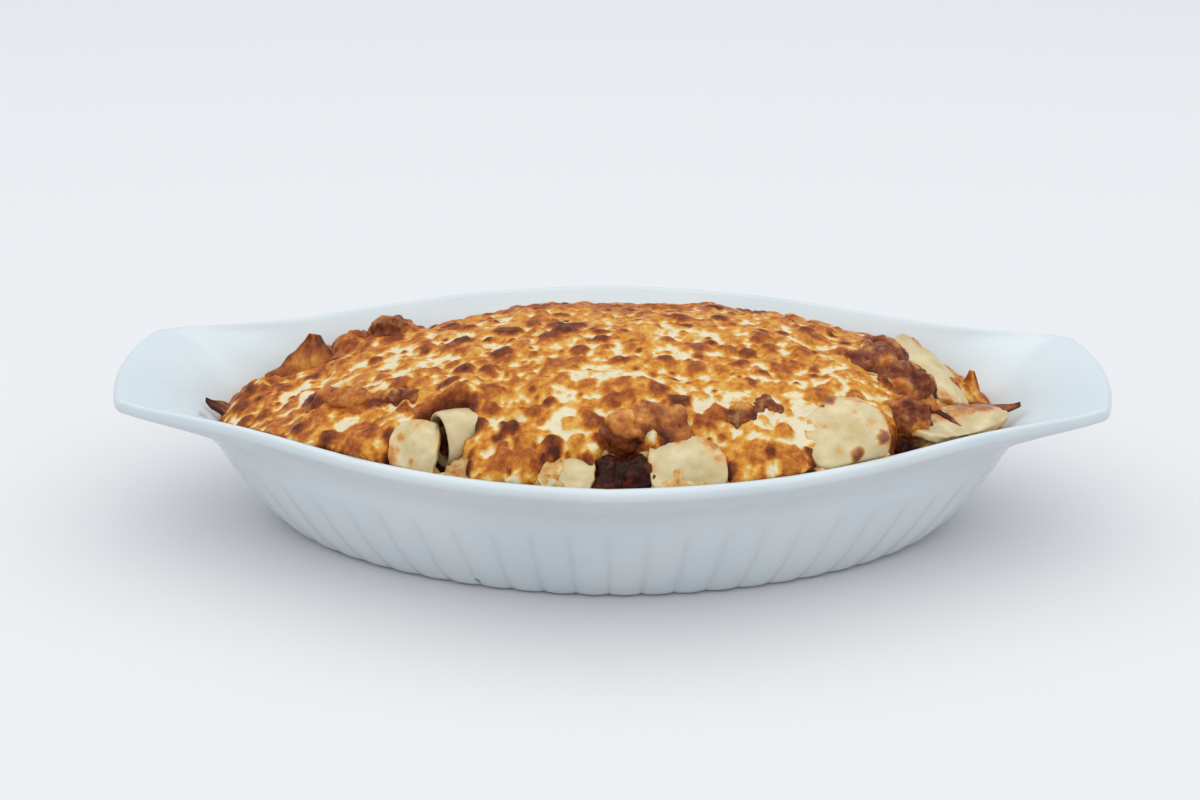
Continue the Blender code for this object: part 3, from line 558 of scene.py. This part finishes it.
def stampDomes(lift, done, x, y, places, warp, crease):
    # Round bubbles on a height field: raised, pinched where they meet it, and browned on top.
    step = x[0, 1] - x[0, 0]

    def near(middle, reach, first):     # the rows or columns that a bubble reaches
        low, high = int((middle - reach - first) / step), int((middle + reach - first) / step) + 2
        return slice(max(low, 0), max(high, 0))

    for bx, by, radius, tall, doneness in places:
        rows, cols = near(by, radius * 1.7, y[0, 0]), near(bx, radius * 1.7, x[0, 0])
        away = np.hypot(x[rows, cols] - bx, (y[rows, cols] - by) * 1.05) / radius
        away = away * (1.0 + 0.36 * warp[rows, cols])
        dome = tall * np.clip(1.0 - away ** 2.2, 0.0, 1.0) ** 0.75
        pinch = crease * tall * np.exp(-((away - 1.12) / 0.16) ** 2)
        lift[rows, cols] = np.maximum(lift[rows, cols], 0.4 * lift[rows, cols] + dome) - pinch
        cap = (doneness + 0.1 * warp[rows, cols]) * smoothStep(1.16, 0.7, away)
        done[rows, cols] = np.maximum(done[rows, cols], cap)


def cheeseField(x, y):
    # Height above the dome and how brown it is, on a regular grid of x and y.
    lift = 0.8 * ripple(x, y, 11.0, 5) + 0.5 * ripple(x, y, 5.2, 6) + 0.28 * ripple(x, y, 2.4, 7)
    crags = smoothStep(-58.0, -92.0, x) + 0.5 * smoothStep(30.0, 52.0, y)     # rough where it baked hardest
    lift = lift + crags * (1.5 * np.abs(ripple(x, y, 8.0, 17)) + 0.9 * np.abs(ripple(x, y, 3.6, 18)) - 0.5)
    for sx, sy, radius, tall in swells:
        lift = lift + tall * np.exp(-((x - sx) ** 2 + (y - sy) ** 2) / (0.5 * radius ** 2))
    browner = 0.12 + 0.0014 * y + 0.1 * smoothStep(20.0, 70.0, x)
    ragged = 0.35 * ripple(x, y, 6.0, 14) + 0.2 * ripple(x, y, 2.6, 15)
    for fx, fy, half, depth, heading, more in brownFields:
        c, s = math.cos(math.radians(heading)), math.sin(math.radians(heading))
        along, across = (x - fx) * c + (y - fy) * s, (y - fy) * c - (x - fx) * s
        browner = browner + more * smoothStep(1.25, 0.75, np.hypot(along / half, across / depth) + ragged)
    patch = ripple(x, 1.35 * y, 5.8, 9) + 0.75 * ripple(x, y, 2.8, 10) + 0.5 * ripple(x, y, 1.5, 16)
    crust = smoothStep(-0.07, 0.1, patch + 1.4 * browner)
    lift = lift + 0.5 * crust
    tone = 0.3 + 0.4 * np.clip(browner, -0.2, 0.6) + 0.03 * smoothStep(-20.0, -60.0, x)
    tone = tone + 0.13 * ripple(x, y, 3.2, 12) + 0.1 * ripple(x, y, 1.4, 19)
    done = 0.1 + crust * np.clip(tone, 0.16, 0.7)
    stampDomes(lift, done, x, y, scatterBlisters(), ripple(x, y, 2.2, 13), 0.34)
    return lift, np.clip(done + 0.3 * np.clip(browner, -0.4, 0.0), 0.0, 1.0)


def cheeseMaterial():
    # Melted and gratinated cheese: fatty, faintly translucent cream that turns golden, then brown and dry.
    material, tree, shader, where = startMaterial("gratinated_cheese")
    total, _ = speckledBrowning(tree, where, 2.1, 7.0, 0.7, 0.22)
    crust = addNode(tree, "ShaderNodeValToRGB", {"Fac": total},
                    stops=((0.14, cheese["cream"]), (0.95, cheese["dark"]), (0.2, cheese["pale"]),
                           (0.27, cheese["butter"]), (0.4, cheese["golden"]), (0.57, cheese["amber"]),
                           (0.74, cheese["brown"])))
    sheen = addNode(tree, "ShaderNodeMapRange", {"Value": total, "From Min": 0.1, "From Max": 0.9,
                                                 "To Min": 0.3, "To Max": 0.5})
    pores = addNode(tree, "ShaderNodeTexNoise", {"Vector": where, "Scale": perMetre(1.7), "Detail": 6.0,
                                                 "Roughness": 0.7})
    bump = addNode(tree, "ShaderNodeBump", {"Height": pores.outputs["Fac"], "Strength": 0.85,
                                            "Distance": 0.8 * mm})
    setInputs(tree, shader, {"Base Color": crust.outputs["Color"], "Roughness": sheen.outputs["Result"],
                             "Specular IOR Level": 0.2, "Subsurface Weight": 0.12,
                             "Subsurface Radius": (1.0, 0.6, 0.3), "Subsurface Scale": 1.6 * mm,
                             "Normal": bump.outputs["Normal"]})
    return material


def makeCheese():
    bm = layerGrid(cheese["step"])
    closeUnder(bm, cheese["underside"])
    piece = finishPiece(bm, "browned_cheese", cheeseMaterial(), "cheese")
    points, top = readPoints(piece.data) / mm, topOf(piece.data)
    x, y = points[top, 0], points[top, 1]
    fields = cheeseField(*fieldGrid(cheese["step"]))
    lift, done = (sampleGrid(field, cheese["step"], x, y) for field in fields)
    away = bayDistance(x, y)
    rounded = 1.0 - (1.0 - np.clip(away / cheese["meltWidth"], 0, 1)) ** 2
    melt = np.sqrt(np.clip(rounded, 0, 1))     # 0 in a bay, rising over a melted edge to 1
    drop = (cheese["bayDrop"] + sunk(x, y)) * smoothStep(0.6, -0.4, away)
    points[top, 2] = bakeTop(x, y) - bake["cheese"] + (bake["cheese"] + lift) * melt - drop
    brown = np.full(len(points), 0.3)
    brown[top] = done + cheese["bayBrown"] * smoothStep(cheese["bayWidth"], 0.4, away)
    writePoints(piece.data, trimToWall(points, bake["overlap"]) * mm)
    writeField(piece.data, "brown", brown)


makeCheese()
print("cheese: blistered top made")


# Filling: ragu and sauce that show in the bays and at the ends

filling = dict(step=1.0, fieldStep=0.8, underside=18.0, crumbs=2600, radius=(0.9, 2.2), height=(0.5, 1.6),
               seed=23, dark="1E0A06", ragu="551D0E", meat="843A1C", orange="A85F26", sauce="CE944E",
               cream="DFBF86")


def fillingMaterial():
    # Ragu and bechamel baked together: dark wet crumbs where it sinks, which is ragu in the crater and
    # painted shade there, beside the roll and in the gap by the front sheet; an orange and cream sauce
    # elsewhere.
    material, tree, shader, where = startMaterial("baked_ragu")
    grain = addNode(tree, "ShaderNodeTexNoise", {"Vector": where, "Scale": perMetre(2.6), "Detail": 7.0,
                                                 "Roughness": 0.66})
    ragu = addNode(tree, "ShaderNodeValToRGB", {"Fac": grain.outputs["Fac"]},
                   stops=((0.36, filling["dark"]), (0.72, filling["orange"]), (0.5, filling["ragu"]),
                          (0.6, filling["meat"])))
    sauce = addNode(tree, "ShaderNodeValToRGB", {"Fac": grain.outputs["Fac"]},
                    stops=((0.34, filling["orange"]), (0.6, filling["cream"]), (0.45, filling["sauce"])))
    sauceVsRaguAndShade = addNode(tree, "ShaderNodeAttribute", attribute_name="sauceVsRaguAndShade").outputs["Fac"]
    mixed = addNode(tree, "ShaderNodeMix", {"Factor": sauceVsRaguAndShade, "A": ragu.outputs["Color"],
                                            "B": sauce.outputs["Color"]}, data_type="RGBA")
    lumps = addNode(tree, "ShaderNodeTexNoise", {"Vector": where, "Scale": perMetre(1.2), "Detail": 5.0})
    bump = addNode(tree, "ShaderNodeBump", {"Height": lumps.outputs["Fac"], "Strength": 0.6,
                                            "Distance": 0.5 * mm})
    setInputs(tree, shader, {"Base Color": mixed.outputs["Result"], "Roughness": 0.3,
                             "Specular IOR Level": 0.14, "Normal": bump.outputs["Normal"]})
    return material


def makeFilling():
    bm = layerGrid(filling["step"])
    closeUnder(bm, filling["underside"])
    piece = finishPiece(bm, "ragu_filling", fillingMaterial(), "filling")
    points, top = readPoints(piece.data) / mm, topOf(piece.data)
    x, y = points[top, 0], points[top, 1]
    gx, gy = fieldGrid(filling["fieldStep"])
    lift = 0.6 * ripple(gx, gy, 5.0, 21) + 0.2 * ripple(gx, gy, 2.0, 23)
    rng = random.Random(filling["seed"])
    crumbs = [(rng.uniform(-110, 110), rng.uniform(-74, -20), rng.uniform(*filling["radius"]),
               rng.uniform(*filling["height"]), 0.0) for _ in range(filling["crumbs"])]
    stampDomes(lift, np.zeros_like(lift), gx, gy, crumbs, ripple(gx, gy, 2.0, 24), 0.3)
    depth = sunk(x, y)
    lift = sampleGrid(lift, filling["fieldStep"], x, y)
    points[top, 2] = bakeTop(x, y) - bake["cheese"] + lift - depth
    writePoints(piece.data, trimToWall(points, bake["overlap"]) * mm)
    sauceVsRaguAndShade = np.ones(len(points))
    # The deeper the filling sinks, the darker it is painted: real ragu in the crater, and painted shade in
    # the crater, under the roll and in the gap by the front sheet.
    sauceVsRaguAndShade[top] = smoothStep(3.4, 0.4, depth)
    writeField(piece.data, "sauceVsRaguAndShade", sauceVsRaguAndShade)


makeFilling()
print("filling: ragu made")


# Pasta: egg pasta sheets, rolled and boiled, their edges dried and browned in the oven

pasta = dict(cream="D2B98A", pale="E1CA9E", olive="C7AC74", golden="D8923A", brown="96501F", dark="2E140B",
             across=44, down=34)
pastaSheets = {     # place, then heading, tilt and lean, then length, width and thickness, and browned spots
    "pasta_left": dict(at=(-50.6, -57.2, 45.6), turn=(-8, 45, 0), size=(13.4, 16, 2.2), bulge=3, wave=0.7,
                       spots=((0, -0.55, 0.14, 0.46), (-0.55, 0.3, 0.24, 0.34), (-1, -0.4, 0.5, 0.46),
                              (0.1, 1, 0.5, 0.3), (-0.4, -1, 0.3, 0.4)), edge=0.3),
    "pasta_middle": dict(at=(-10.8, -67.4, 43.5), turn=(-3, 32, 0), size=(15, 10.4, 2.2), bulge=1.6, wave=0.6,
                         spots=((-0.95, 0.6, 0.3, 0.4), (0.9, 0.9, 0.4, 0.34)), edge=0.3),
    "pasta_crater": dict(at=(20.2, -64, 44.7), turn=(5, 40, 0), size=(20.5, 16, 2.2), bulge=2.6, wave=0.9,
                         spots=((0.75, 0.75, 0.45, 0.42), (-0.2, 0.95, 0.3, 0.38), (0.95, 0.1, 0.3, 0.36),
                                (0.35, 0.25, 0.14, 0.3), (-0.9, -0.2, 0.2, 0.34)), edge=0.4),
    "pasta_front": dict(at=(61.4, -49.8, 47.4), turn=(14, 30, 0), size=(22.8, 23.4, 2.4), bulge=4, wave=0.9,
                        spots=((-0.2, 0.9, 0.2, 0.8), (0.12, -0.72, 0.17, 0.8), (0.84, -0.42, 0.2, 0.75),
                               (-0.5, 0.1, 0.1, 0.36), (0.3, 0.35, 0.08, 0.34), (-0.95, 0.2, 0.3, 0.36),
                               (0.5, 0.95, 0.3, 0.36), (0.55, 0, 0.16, 0.3), (-0.3, -0.5, 0.12, 0.28)),
                        edge=0.5),
    "pasta_strip": dict(at=(90.5, 1, 45), turn=(-60, -15, 20), size=(32, 13, 2), bulge=1.5, wave=0.8,
                        spots=((-0.9, 0.5, 0.25, 0.5), (0.9, -0.6, 0.3, 0.45)), edge=0.35),
    "pasta_edge": dict(at=(95, -27, 42), turn=(47, 12, 10), size=(42, 12, 1.9), bulge=0.8, wave=0.9,
                       spots=((0, 0.45, 0.5, 0.44), (0.7, 0.3, 0.5, 0.62), (0.4, 0.7, 0.45, 0.6),
                              (-0.5, 0.6, 0.45, 0.4)), edge=0.5),
}
roll = dict(at=(-44.5, -53.5, 46.4), turn=(28, 0, 0), length=17, half=(7.2, 7.8), wall=1.6, depth=9,
            sag=1.6, sides=56)


def bedPiece(bm, part, name, material, node):     # sets a piece in the food, with soft edges
    heading, tilt, lean = (math.radians(angle) for angle in part["turn"])
    spin = Matrix.Rotation(heading, 4, "Z") @ Matrix.Rotation(tilt, 4, "X") @ Matrix.Rotation(lean, 4, "Y")
    place = Matrix.Translation(Vector(part["at"]) * mm) @ spin
    bmesh.ops.transform(bm, matrix=place, verts=bm.verts[:])
    piece = finishPiece(bm, name, material, node)
    trimPiece(piece)
    smooth = piece.modifiers.new("soft edges", "SUBSURF")
    smooth.levels = smooth.render_levels = 1


def pastaMaterial():
    # Boiled egg pasta: smooth, damp and slightly see-through, cream with golden and brown dried edges, and
    # near-black painted shade inside the roll's mouth.
    material, tree, shader, where = startMaterial("boiled_pasta")
    tone = addNode(tree, "ShaderNodeTexNoise", {"Vector": where, "Scale": perMetre(5), "Detail": 5.0})
    body = addNode(tree, "ShaderNodeValToRGB", {"Fac": tone.outputs["Fac"]},
                   stops=((0.3, pasta["olive"]), (0.72, pasta["pale"]), (0.5, pasta["cream"])))
    total, speckle = speckledBrowning(tree, where, 2.0, 5.0, 0.5, 0.16)
    # The dark end of this ramp is real browning on the spots, and painted shade where the roll's fold rows go
    # past 1.0.
    baked = addNode(tree, "ShaderNodeValToRGB", {"Fac": total},
                    stops=((0.3, pasta["golden"]), (1.0, pasta["dark"]), (0.65, pasta["brown"])))
    share = addNode(tree, "ShaderNodeMapRange", {"Value": total, "From Min": 0.15, "From Max": 0.42})
    mixed = addNode(tree, "ShaderNodeMix", {"Factor": share.outputs["Result"], "A": body.outputs["Color"],
                                            "B": baked.outputs["Color"]}, data_type="RGBA")
    bump = addNode(tree, "ShaderNodeBump", {"Height": speckle, "Strength": 0.5, "Distance": 0.4 * mm})
    setInputs(tree, shader, {"Base Color": mixed.outputs["Result"], "Roughness": 0.33,
                             "Subsurface Weight": 0.15, "Subsurface Radius": (1.0, 0.75, 0.4),
                             "Subsurface Scale": 1.5 * mm, "Normal": bump.outputs["Normal"]})
    return material


boiledPasta = pastaMaterial()


def makeSheet(name, part, seed):
    length, width, thick = part["size"]
    bm = bmesh.new()
    brownLayer = bm.verts.layers.float.new("brown")
    bmesh.ops.create_grid(bm, x_segments=pasta["across"], y_segments=pasta["down"], size=1.0)
    for vert in bm.verts:
        u, v = vert.co.x, vert.co.y
        rim = max(abs(u), abs(v))
        wander = noise.noise(Vector((2.2 * u, 2.2 * v, seed)))
        shape = 1.0 - 0.16 * (u * u) * (v * v) + 0.07 * rim * wander
        lift = part["bulge"] * (1.0 - 0.8 * v * v - 0.2 * u * u) + part["wave"] * math.sin(2.6 * u + 1.3 * v)
        lift += 0.35 * noise.noise(Vector((3.1 * u, 3.1 * v, seed + 5.0)))
        lift += 0.5 * rim ** 8 * noise.noise(Vector((5.0 * u, 5.0 * v, seed + 9.0)))
        brown = 1.3 * part["edge"] * rim ** 9 * (1.0 if v > -0.2 else 0.35) * (0.7 + wander)
        for su, sv, reach, done in part["spots"]:
            away = math.hypot(u - su, v - sv) / reach + 0.3 * noise.noise(Vector((6 * u, 6 * v, seed + 2.0)))
            brown = max(brown, done * min(max(1.5 - away, 0.0), 1.0))
        vert[brownLayer] = brown
        vert.co = Vector((u * length / 2 * shape, v * width / 2 * shape, lift)) * mm
    bmesh.ops.solidify(bm, geom=bm.faces[:], thickness=thick * mm)
    bedPiece(bm, part, "cooked_" + name, boiledPasta, name)


def makeRoll():
    # A rolled sheet, flattened, open at one end as far in as the fold can be seen, its inside painted
    # near-black as shade.
    halfY, halfZ = roll["half"]
    wall, length = roll["wall"], roll["length"]
    stations = [(roll["depth"] * share, wall + more) for share, more in ((1.0, 1.6), (0.75, 0.6), (0.4, 0.1))]
    shadedFoldRows = len(stations)     # the rows down in the fold
    stations += [(0.9, wall), (0.25, wall * 0.86), (-0.2, wall * 0.5), (0.25, wall * 0.14), (0.9, 0.0)]
    for share in (0.15, 0.28, 0.4, 0.52, 0.64, 0.76, 0.87, 0.93):
        stations.append((length * share, 0.9 * share ** 3))
    stations += [(length * 0.97, halfZ * 0.2), (length, halfZ * 0.45)]
    bm, rowLayer, columnLayer = sleeve(roll["sides"], len(stations))
    brownLayer = bm.verts.layers.float.new("brown")
    for vert in bm.verts:
        x, inset = stations[vert[rowLayer]]
        angle = 2 * math.pi * vert[columnLayer] / roll["sides"]
        wobble = 0.3 * noise.noise(Vector((x / 5.0, math.cos(angle) * 1.3, math.sin(angle) * 1.3)))
        y = (halfY - inset + wobble) * math.cos(angle)
        z = (halfZ - inset + wobble) * math.sin(angle) - roll["sag"] * (x / length) ** 2
        vert.co = Vector((x, y, z)) * mm
        # 1.2 is past the ramp's dark end: the rows down in the fold are painted near-black, as shade inside
        # the roll's mouth, not browning.
        vert[brownLayer] = 1.2 if vert[rowLayer] < shadedFoldRows else 0.0
    bedPiece(bm, roll, "cooked_pasta_roll", boiledPasta, "pasta_roll")


for seed, (name, part) in enumerate(pastaSheets.items()):
    makeSheet(name, part, seed * 3.7)
makeRoll()
print("pasta: sheets and roll made")


# Meat: coarse minced beef, fried and stewed, so each lump is a cluster of crumbs

meat = dict(voxel=0.42, crumb=(1.3, 3.2), perLump=40, core=0.93, sinking=0.62, seed=31,
            dark="2E0F08", red="5E2513", brown="823F20", tan="AE8456", amber="B4642A", golden="D89440")
meatPieces = {     # how toasted, then each lump's middle and its half sizes
    "meat_crater": (0, (0, -65.5, 41, (6, 5.5, 5.5)), (6.5, -65, 41.5, (5.5, 5.5, 5.5))),
    "meat_middle": (0.12, (35, -50.4, 50.6, (5.6, 4.6, 4.4)), (39.6, -47.2, 51.2, (5.4, 4.6, 4.2))),
    "meat_right": (0.3, (71, -14, 52.2, (9.5, 8.5, 4.6)), (79, -21, 49.6, (9.5, 9, 5.6)),
                   (79.5, -35, 45.8, (7.5, 7, 5.8)), (76, -3, 51, (8, 8, 4.4))),
    "meat_strip": (0.2, (-55, -38.5, 50.2, (5, 4, 3.4))),
    "meat_left": (0.85, (-77, -30, 45.4, (7.5, 6, 5)), (-69.5, -32.5, 47.2, (7, 5.6, 4.8))),
    "meat_back": (0.4, (-73, 13, 44.8, (7.8, 6, 5.2)), (-63, 13, 49.2, (7.8, 6.5, 6))),
}
archLumps = ((4, -56.6, 49.8, (7, 5.4, 6.2)), (9.5, -52.5, 52.4, (7, 5, 4.6)),
             (15.5, -54.7, 50.6, (6.4, 5.4, 6)))


def meatMaterial():
    # Fried mince: matt brown outside, red-brown and wet where it broke, with tan specks of fat; its crevices
    # are painted darker and its peaks lighter as shade, and the crater's lump darker still as painted shade.
    material, tree, shader, where = startMaterial("browned_mince")
    grain = addNode(tree, "ShaderNodeTexNoise", {"Vector": where, "Scale": perMetre(2.4), "Detail": 6.0,
                                                 "Roughness": 0.62})
    reliefShade = addNode(tree, "ShaderNodeAttribute", attribute_name="reliefShade").outputs["Fac"]
    total = addNode(tree, "ShaderNodeMath", {0: grain.outputs["Fac"], 1: reliefShade}, operation="ADD")
    raw = addNode(tree, "ShaderNodeValToRGB", {"Fac": total.outputs["Value"]},
                  stops=((0.25, meat["dark"]), (0.88, meat["tan"]), (0.42, meat["red"]),
                         (0.62, meat["brown"])))
    baked = addNode(tree, "ShaderNodeValToRGB", {"Fac": total.outputs["Value"]},
                    stops=((0.25, meat["red"]), (0.85, meat["golden"]), (0.42, meat["brown"]),
                           (0.6, meat["amber"])))
    toast = addNode(tree, "ShaderNodeAttribute", attribute_name="toast").outputs["Fac"]
    mixed = addNode(tree, "ShaderNodeMix", {"Factor": toast, "A": raw.outputs["Color"],
                                            "B": baked.outputs["Color"]}, data_type="RGBA")
    fine = addNode(tree, "ShaderNodeTexNoise", {"Vector": where, "Scale": perMetre(0.8), "Detail": 4.0})
    bump = addNode(tree, "ShaderNodeBump", {"Height": fine.outputs["Fac"], "Strength": 0.5,
                                            "Distance": 0.3 * mm})
    setInputs(tree, shader, {"Base Color": mixed.outputs["Result"], "Roughness": 0.36,
                             "Specular IOR Level": 0.14, "Normal": bump.outputs["Normal"]})
    return material


def crumbleLumps(lumps, rng, crumbsEach, crumb):
    # Balls pressed out of round, with crumbs sunk into their skins.
    bm = bmesh.new()
    for x, y, z, half in lumps:
        size = Matrix.Diagonal([reach * meat["core"] for reach in half] + [1.0])
        place = Matrix.Translation((x, y, z)) @ size
        bmesh.ops.create_icosphere(bm, subdivisions=4, radius=1.0, matrix=place)
        for _ in range(crumbsEach):
            out = Vector((rng.gauss(0, 1), rng.gauss(0, 1), rng.gauss(0.35, 1))).normalized()
            radius = rng.uniform(*crumb)
            deep = 1.0 - meat["sinking"] * radius / min(half)
            at = Vector((x + out.x * half[0] * deep, y + out.y * half[1] * deep, z + out.z * half[2] * deep))
            spin = Matrix.Rotation(rng.uniform(0, math.pi), 4, out)
            long, short = rng.uniform(1.0, 1.5), rng.uniform(0.7, 1.0)
            form = Matrix.Diagonal((radius * long, radius * short, radius, 1.0))
            place = Matrix.Translation(at) @ spin @ form
            bmesh.ops.create_icosphere(bm, subdivisions=2, radius=1.0, matrix=place)
    bmesh.ops.scale(bm, vec=(mm, mm, mm), verts=bm.verts[:])
    return bm


def roughen(piece, layers):     # each layer's size, depth and seed; the sum is kept as the relief
    mesh = piece.data
    points = readPoints(mesh) / mm
    normals = np.empty(len(points) * 3, np.float32)
    mesh.vertices.foreach_get("normal", normals)
    lift = sum(depth * noiseAt(points, size, seed) for size, depth, seed in layers)
    writePoints(mesh, (points + normals.reshape(-1, 3) * lift[:, None]) * mm)
    return points, lift


def fuse(piece, voxel):
    skin = piece.modifiers.new("one skin", "REMESH")
    skin.mode = "VOXEL"
    skin.voxel_size = voxel * mm
    settle(piece)


def makeMeat():
    mince = meatMaterial()
    rng = random.Random(meat["seed"])
    for name, (toasted, *lumps) in meatPieces.items():
        bm = crumbleLumps(lumps, rng, meat["perLump"], meat["crumb"])
        piece = finishPiece(bm, "minced_" + name, mince, name)
        fuse(piece, meat["voxel"])
        points, lift = roughen(piece, ((5.5, 0.9, 1), (2.4, 0.6, 2), (1.1, 0.3, 3)))
        trimPiece(piece)
        # Painted shade: the relief darkens the crevices and lightens the peaks, and the crater's lump is
        # pushed darker as shade down in the crater.
        writeField(piece.data, "reliefShade", 0.2 * lift + (0.08 if toasted else -0.26))
        patchy = toasted + 0.9 * noiseAt(points, 5.0, 8) * (toasted > 0)
        writeField(piece.data, "toast", smoothStep(0.25, 0.6, patchy))


makeMeat()
print("meat: minced lumps made")


# Crust: what baked hard, glazed meat over the crater and the crisp corners of the pasta

crust = dict(voxel=0.42, crumb=(1.5, 3.0), perLump=34, seed=37, taper=0.9, cream="EAD9AE", golden="DE9A44",
             amber="B96A28", brown="8A431C", dark="4A1E0D")
flakes = {     # place, turn, then length, width and thickness
    "crisp_left": dict(at=(-87, 5.5, 37), turn=(70, 0, -65), size=(15, 30, 1.7), done=0.36),
    "crisp_tip": dict(at=(-102.5, -8.5, 32.5), turn=(172, 0, -16), size=(13.5, 7, 1.4), done=0.62),
    "crisp_right": dict(at=(100.5, -2.5, 33.5), turn=(70, 0, -55), size=(12.5, 13, 1.4), done=0.16),
    "crisp_edge": dict(at=(99.5, -11, 37), turn=(14, 36, -2), size=(15.5, 8.5, 1.4), done=0.5),
}


def crustMaterial():
    # Cheese and pasta baked dry: brittle amber and brown, blackened at the thin tips, and on the meat arch
    # darker low down and in the crevices as painted shade.
    material, tree, shader, where = startMaterial("baked_crust")
    total, _ = speckledBrowning(tree, where, 2.4, 6.0, 0.62, 0.22)
    tone = addNode(tree, "ShaderNodeValToRGB", {"Fac": total},
                   stops=((0.08, crust["cream"]), (1.0, crust["dark"]), (0.25, crust["golden"]),
                          (0.48, crust["amber"]), (0.72, crust["brown"])))
    fine = addNode(tree, "ShaderNodeTexNoise", {"Vector": where, "Scale": perMetre(0.9), "Detail": 4.0})
    bump = addNode(tree, "ShaderNodeBump", {"Height": fine.outputs["Fac"], "Strength": 0.5,
                                            "Distance": 0.3 * mm})
    setInputs(tree, shader, {"Base Color": tone.outputs["Color"], "Roughness": 0.36,
                             "Specular IOR Level": 0.28, "Normal": bump.outputs["Normal"]})
    return material


bakedCrust = crustMaterial()


def makeArch():
    bm = crumbleLumps(archLumps, random.Random(crust["seed"]), crust["perLump"], crust["crumb"])
    piece = finishPiece(bm, "glazed_meat_arch", bakedCrust, "meat_arch")
    fuse(piece, crust["voxel"])
    points, lift = roughen(piece, ((7.0, 1.2, 4), (2.6, 0.7, 5), (1.2, 0.3, 6)))
    # Real browning noise, plus painted shade: the crust is made browner lower down and in the crevices.
    done = 0.66 + 0.4 * noiseAt(points, 4.4, 7) - 0.05 * (points[:, 2] - 52.5) - 0.14 * lift
    writeField(piece.data, "brown", np.clip(done, 0.12, 1.0))


def makeFlake(name, part, seed):
    length, width, thick = part["size"]
    bm = bmesh.new()
    brownLayer = bm.verts.layers.float.new("brown")
    bmesh.ops.create_grid(bm, x_segments=30, y_segments=18, size=1.0)
    for vert in bm.verts:
        along, v = (vert.co.x + 1.0) / 2, vert.co.y
        ragged = 1.0 + 0.14 * noise.noise(Vector((5 * along, v, seed)))
        half = width / 2 * (1.0 - crust["taper"] * along) * ragged
        curl = 0.22 * length * along ** 2 + 0.8 * math.sin(5.0 * along + v)
        curl += 0.5 * noise.noise(Vector((4 * along, 2 * v, seed + 3.0)))
        patchy = 0.3 * noise.noise(Vector((3 * along, 2 * v, seed)))
        vert[brownLayer] = part["done"] + 0.3 * along + 0.3 * abs(v) ** 4 + patchy
        vert.co = Vector((length * along, v * half, curl)) * mm
    bmesh.ops.solidify(bm, geom=bm.faces[:], thickness=thick * mm)
    bedPiece(bm, part, "brittle_" + name, bakedCrust, name)


makeArch()
for seed, (name, part) in enumerate(flakes.items()):
    makeFlake(name, part, 2.9 * seed)
print("crust: glazed meat and crisp corners made")


# Floor, light and camera

studio = dict(floor="E4DEDE", sky="D0E2EC", skyStrength=0.88,
              softbox=dict(at=(0, -0.35, 1.3), target=(0, -0.35, 0), size=(3.4, 3.4), watts=30.0,
                           tint="FFFBF5"),
              eye=(6.024, -584.079, 281.988), lens=66.594, bank=0.153,
              forward=(-0.01474731, 0.92135916, -0.3884325))


def makeFloor():
    material, tree, shader, _ = startMaterial("matt_board")
    setInputs(tree, shader, {"Base Color": colour(studio["floor"]), "Roughness": 0.6,
                             "Specular IOR Level": 0.2})
    bm = bmesh.new()
    bmesh.ops.create_grid(bm, x_segments=8, y_segments=8, size=3.0)
    floor = makeObject(bm, "studio_floor", material)


def addLight(name, at, target, size, watts, tint):
    data = bpy.data.lights.new(name, "AREA")
    data.shape = "RECTANGLE"
    data.size, data.size_y = size
    data.energy = watts
    data.color = colour(tint)[:3]
    light = bpy.data.objects.new(name, data)
    light.location = at
    light.rotation_euler = (Vector(target) - Vector(at)).to_track_quat("-Z", "Y").to_euler()
    bpy.context.scene.collection.objects.link(light)


def makeStudio():
    makeFloor()
    world = bpy.data.worlds.new("soft_sky")
    world.use_nodes = True
    setInputs(world.node_tree, world.node_tree.nodes["Background"],
              {"Color": colour(studio["sky"]), "Strength": studio["skyStrength"]})
    bpy.context.scene.world = world
    addLight("softbox", **studio["softbox"])
    bpy.context.scene.view_settings.view_transform = "Standard"
    camera = bpy.data.objects.new("camera", bpy.data.cameras.new("camera"))
    bpy.context.scene.collection.objects.link(camera)
    camera.data.sensor_width = 36.0
    camera.data.lens = studio["lens"]
    camera.data.clip_start = 0.01
    forward = Vector(studio["forward"]).normalized()
    right = forward.cross(Vector((0, 0, 1))).normalized()
    up = right.cross(forward)
    bank = math.radians(studio["bank"])
    across = right * math.cos(bank) + up * math.sin(bank)
    upright = up * math.cos(bank) - right * math.sin(bank)
    turn = Matrix((across, upright, -forward)).transposed().to_4x4()
    camera.matrix_world = Matrix.Translation(Vector(studio["eye"]) * mm) @ turn
    bpy.context.scene.camera = camera


makeStudio()
print("studio: floor, light and camera made")
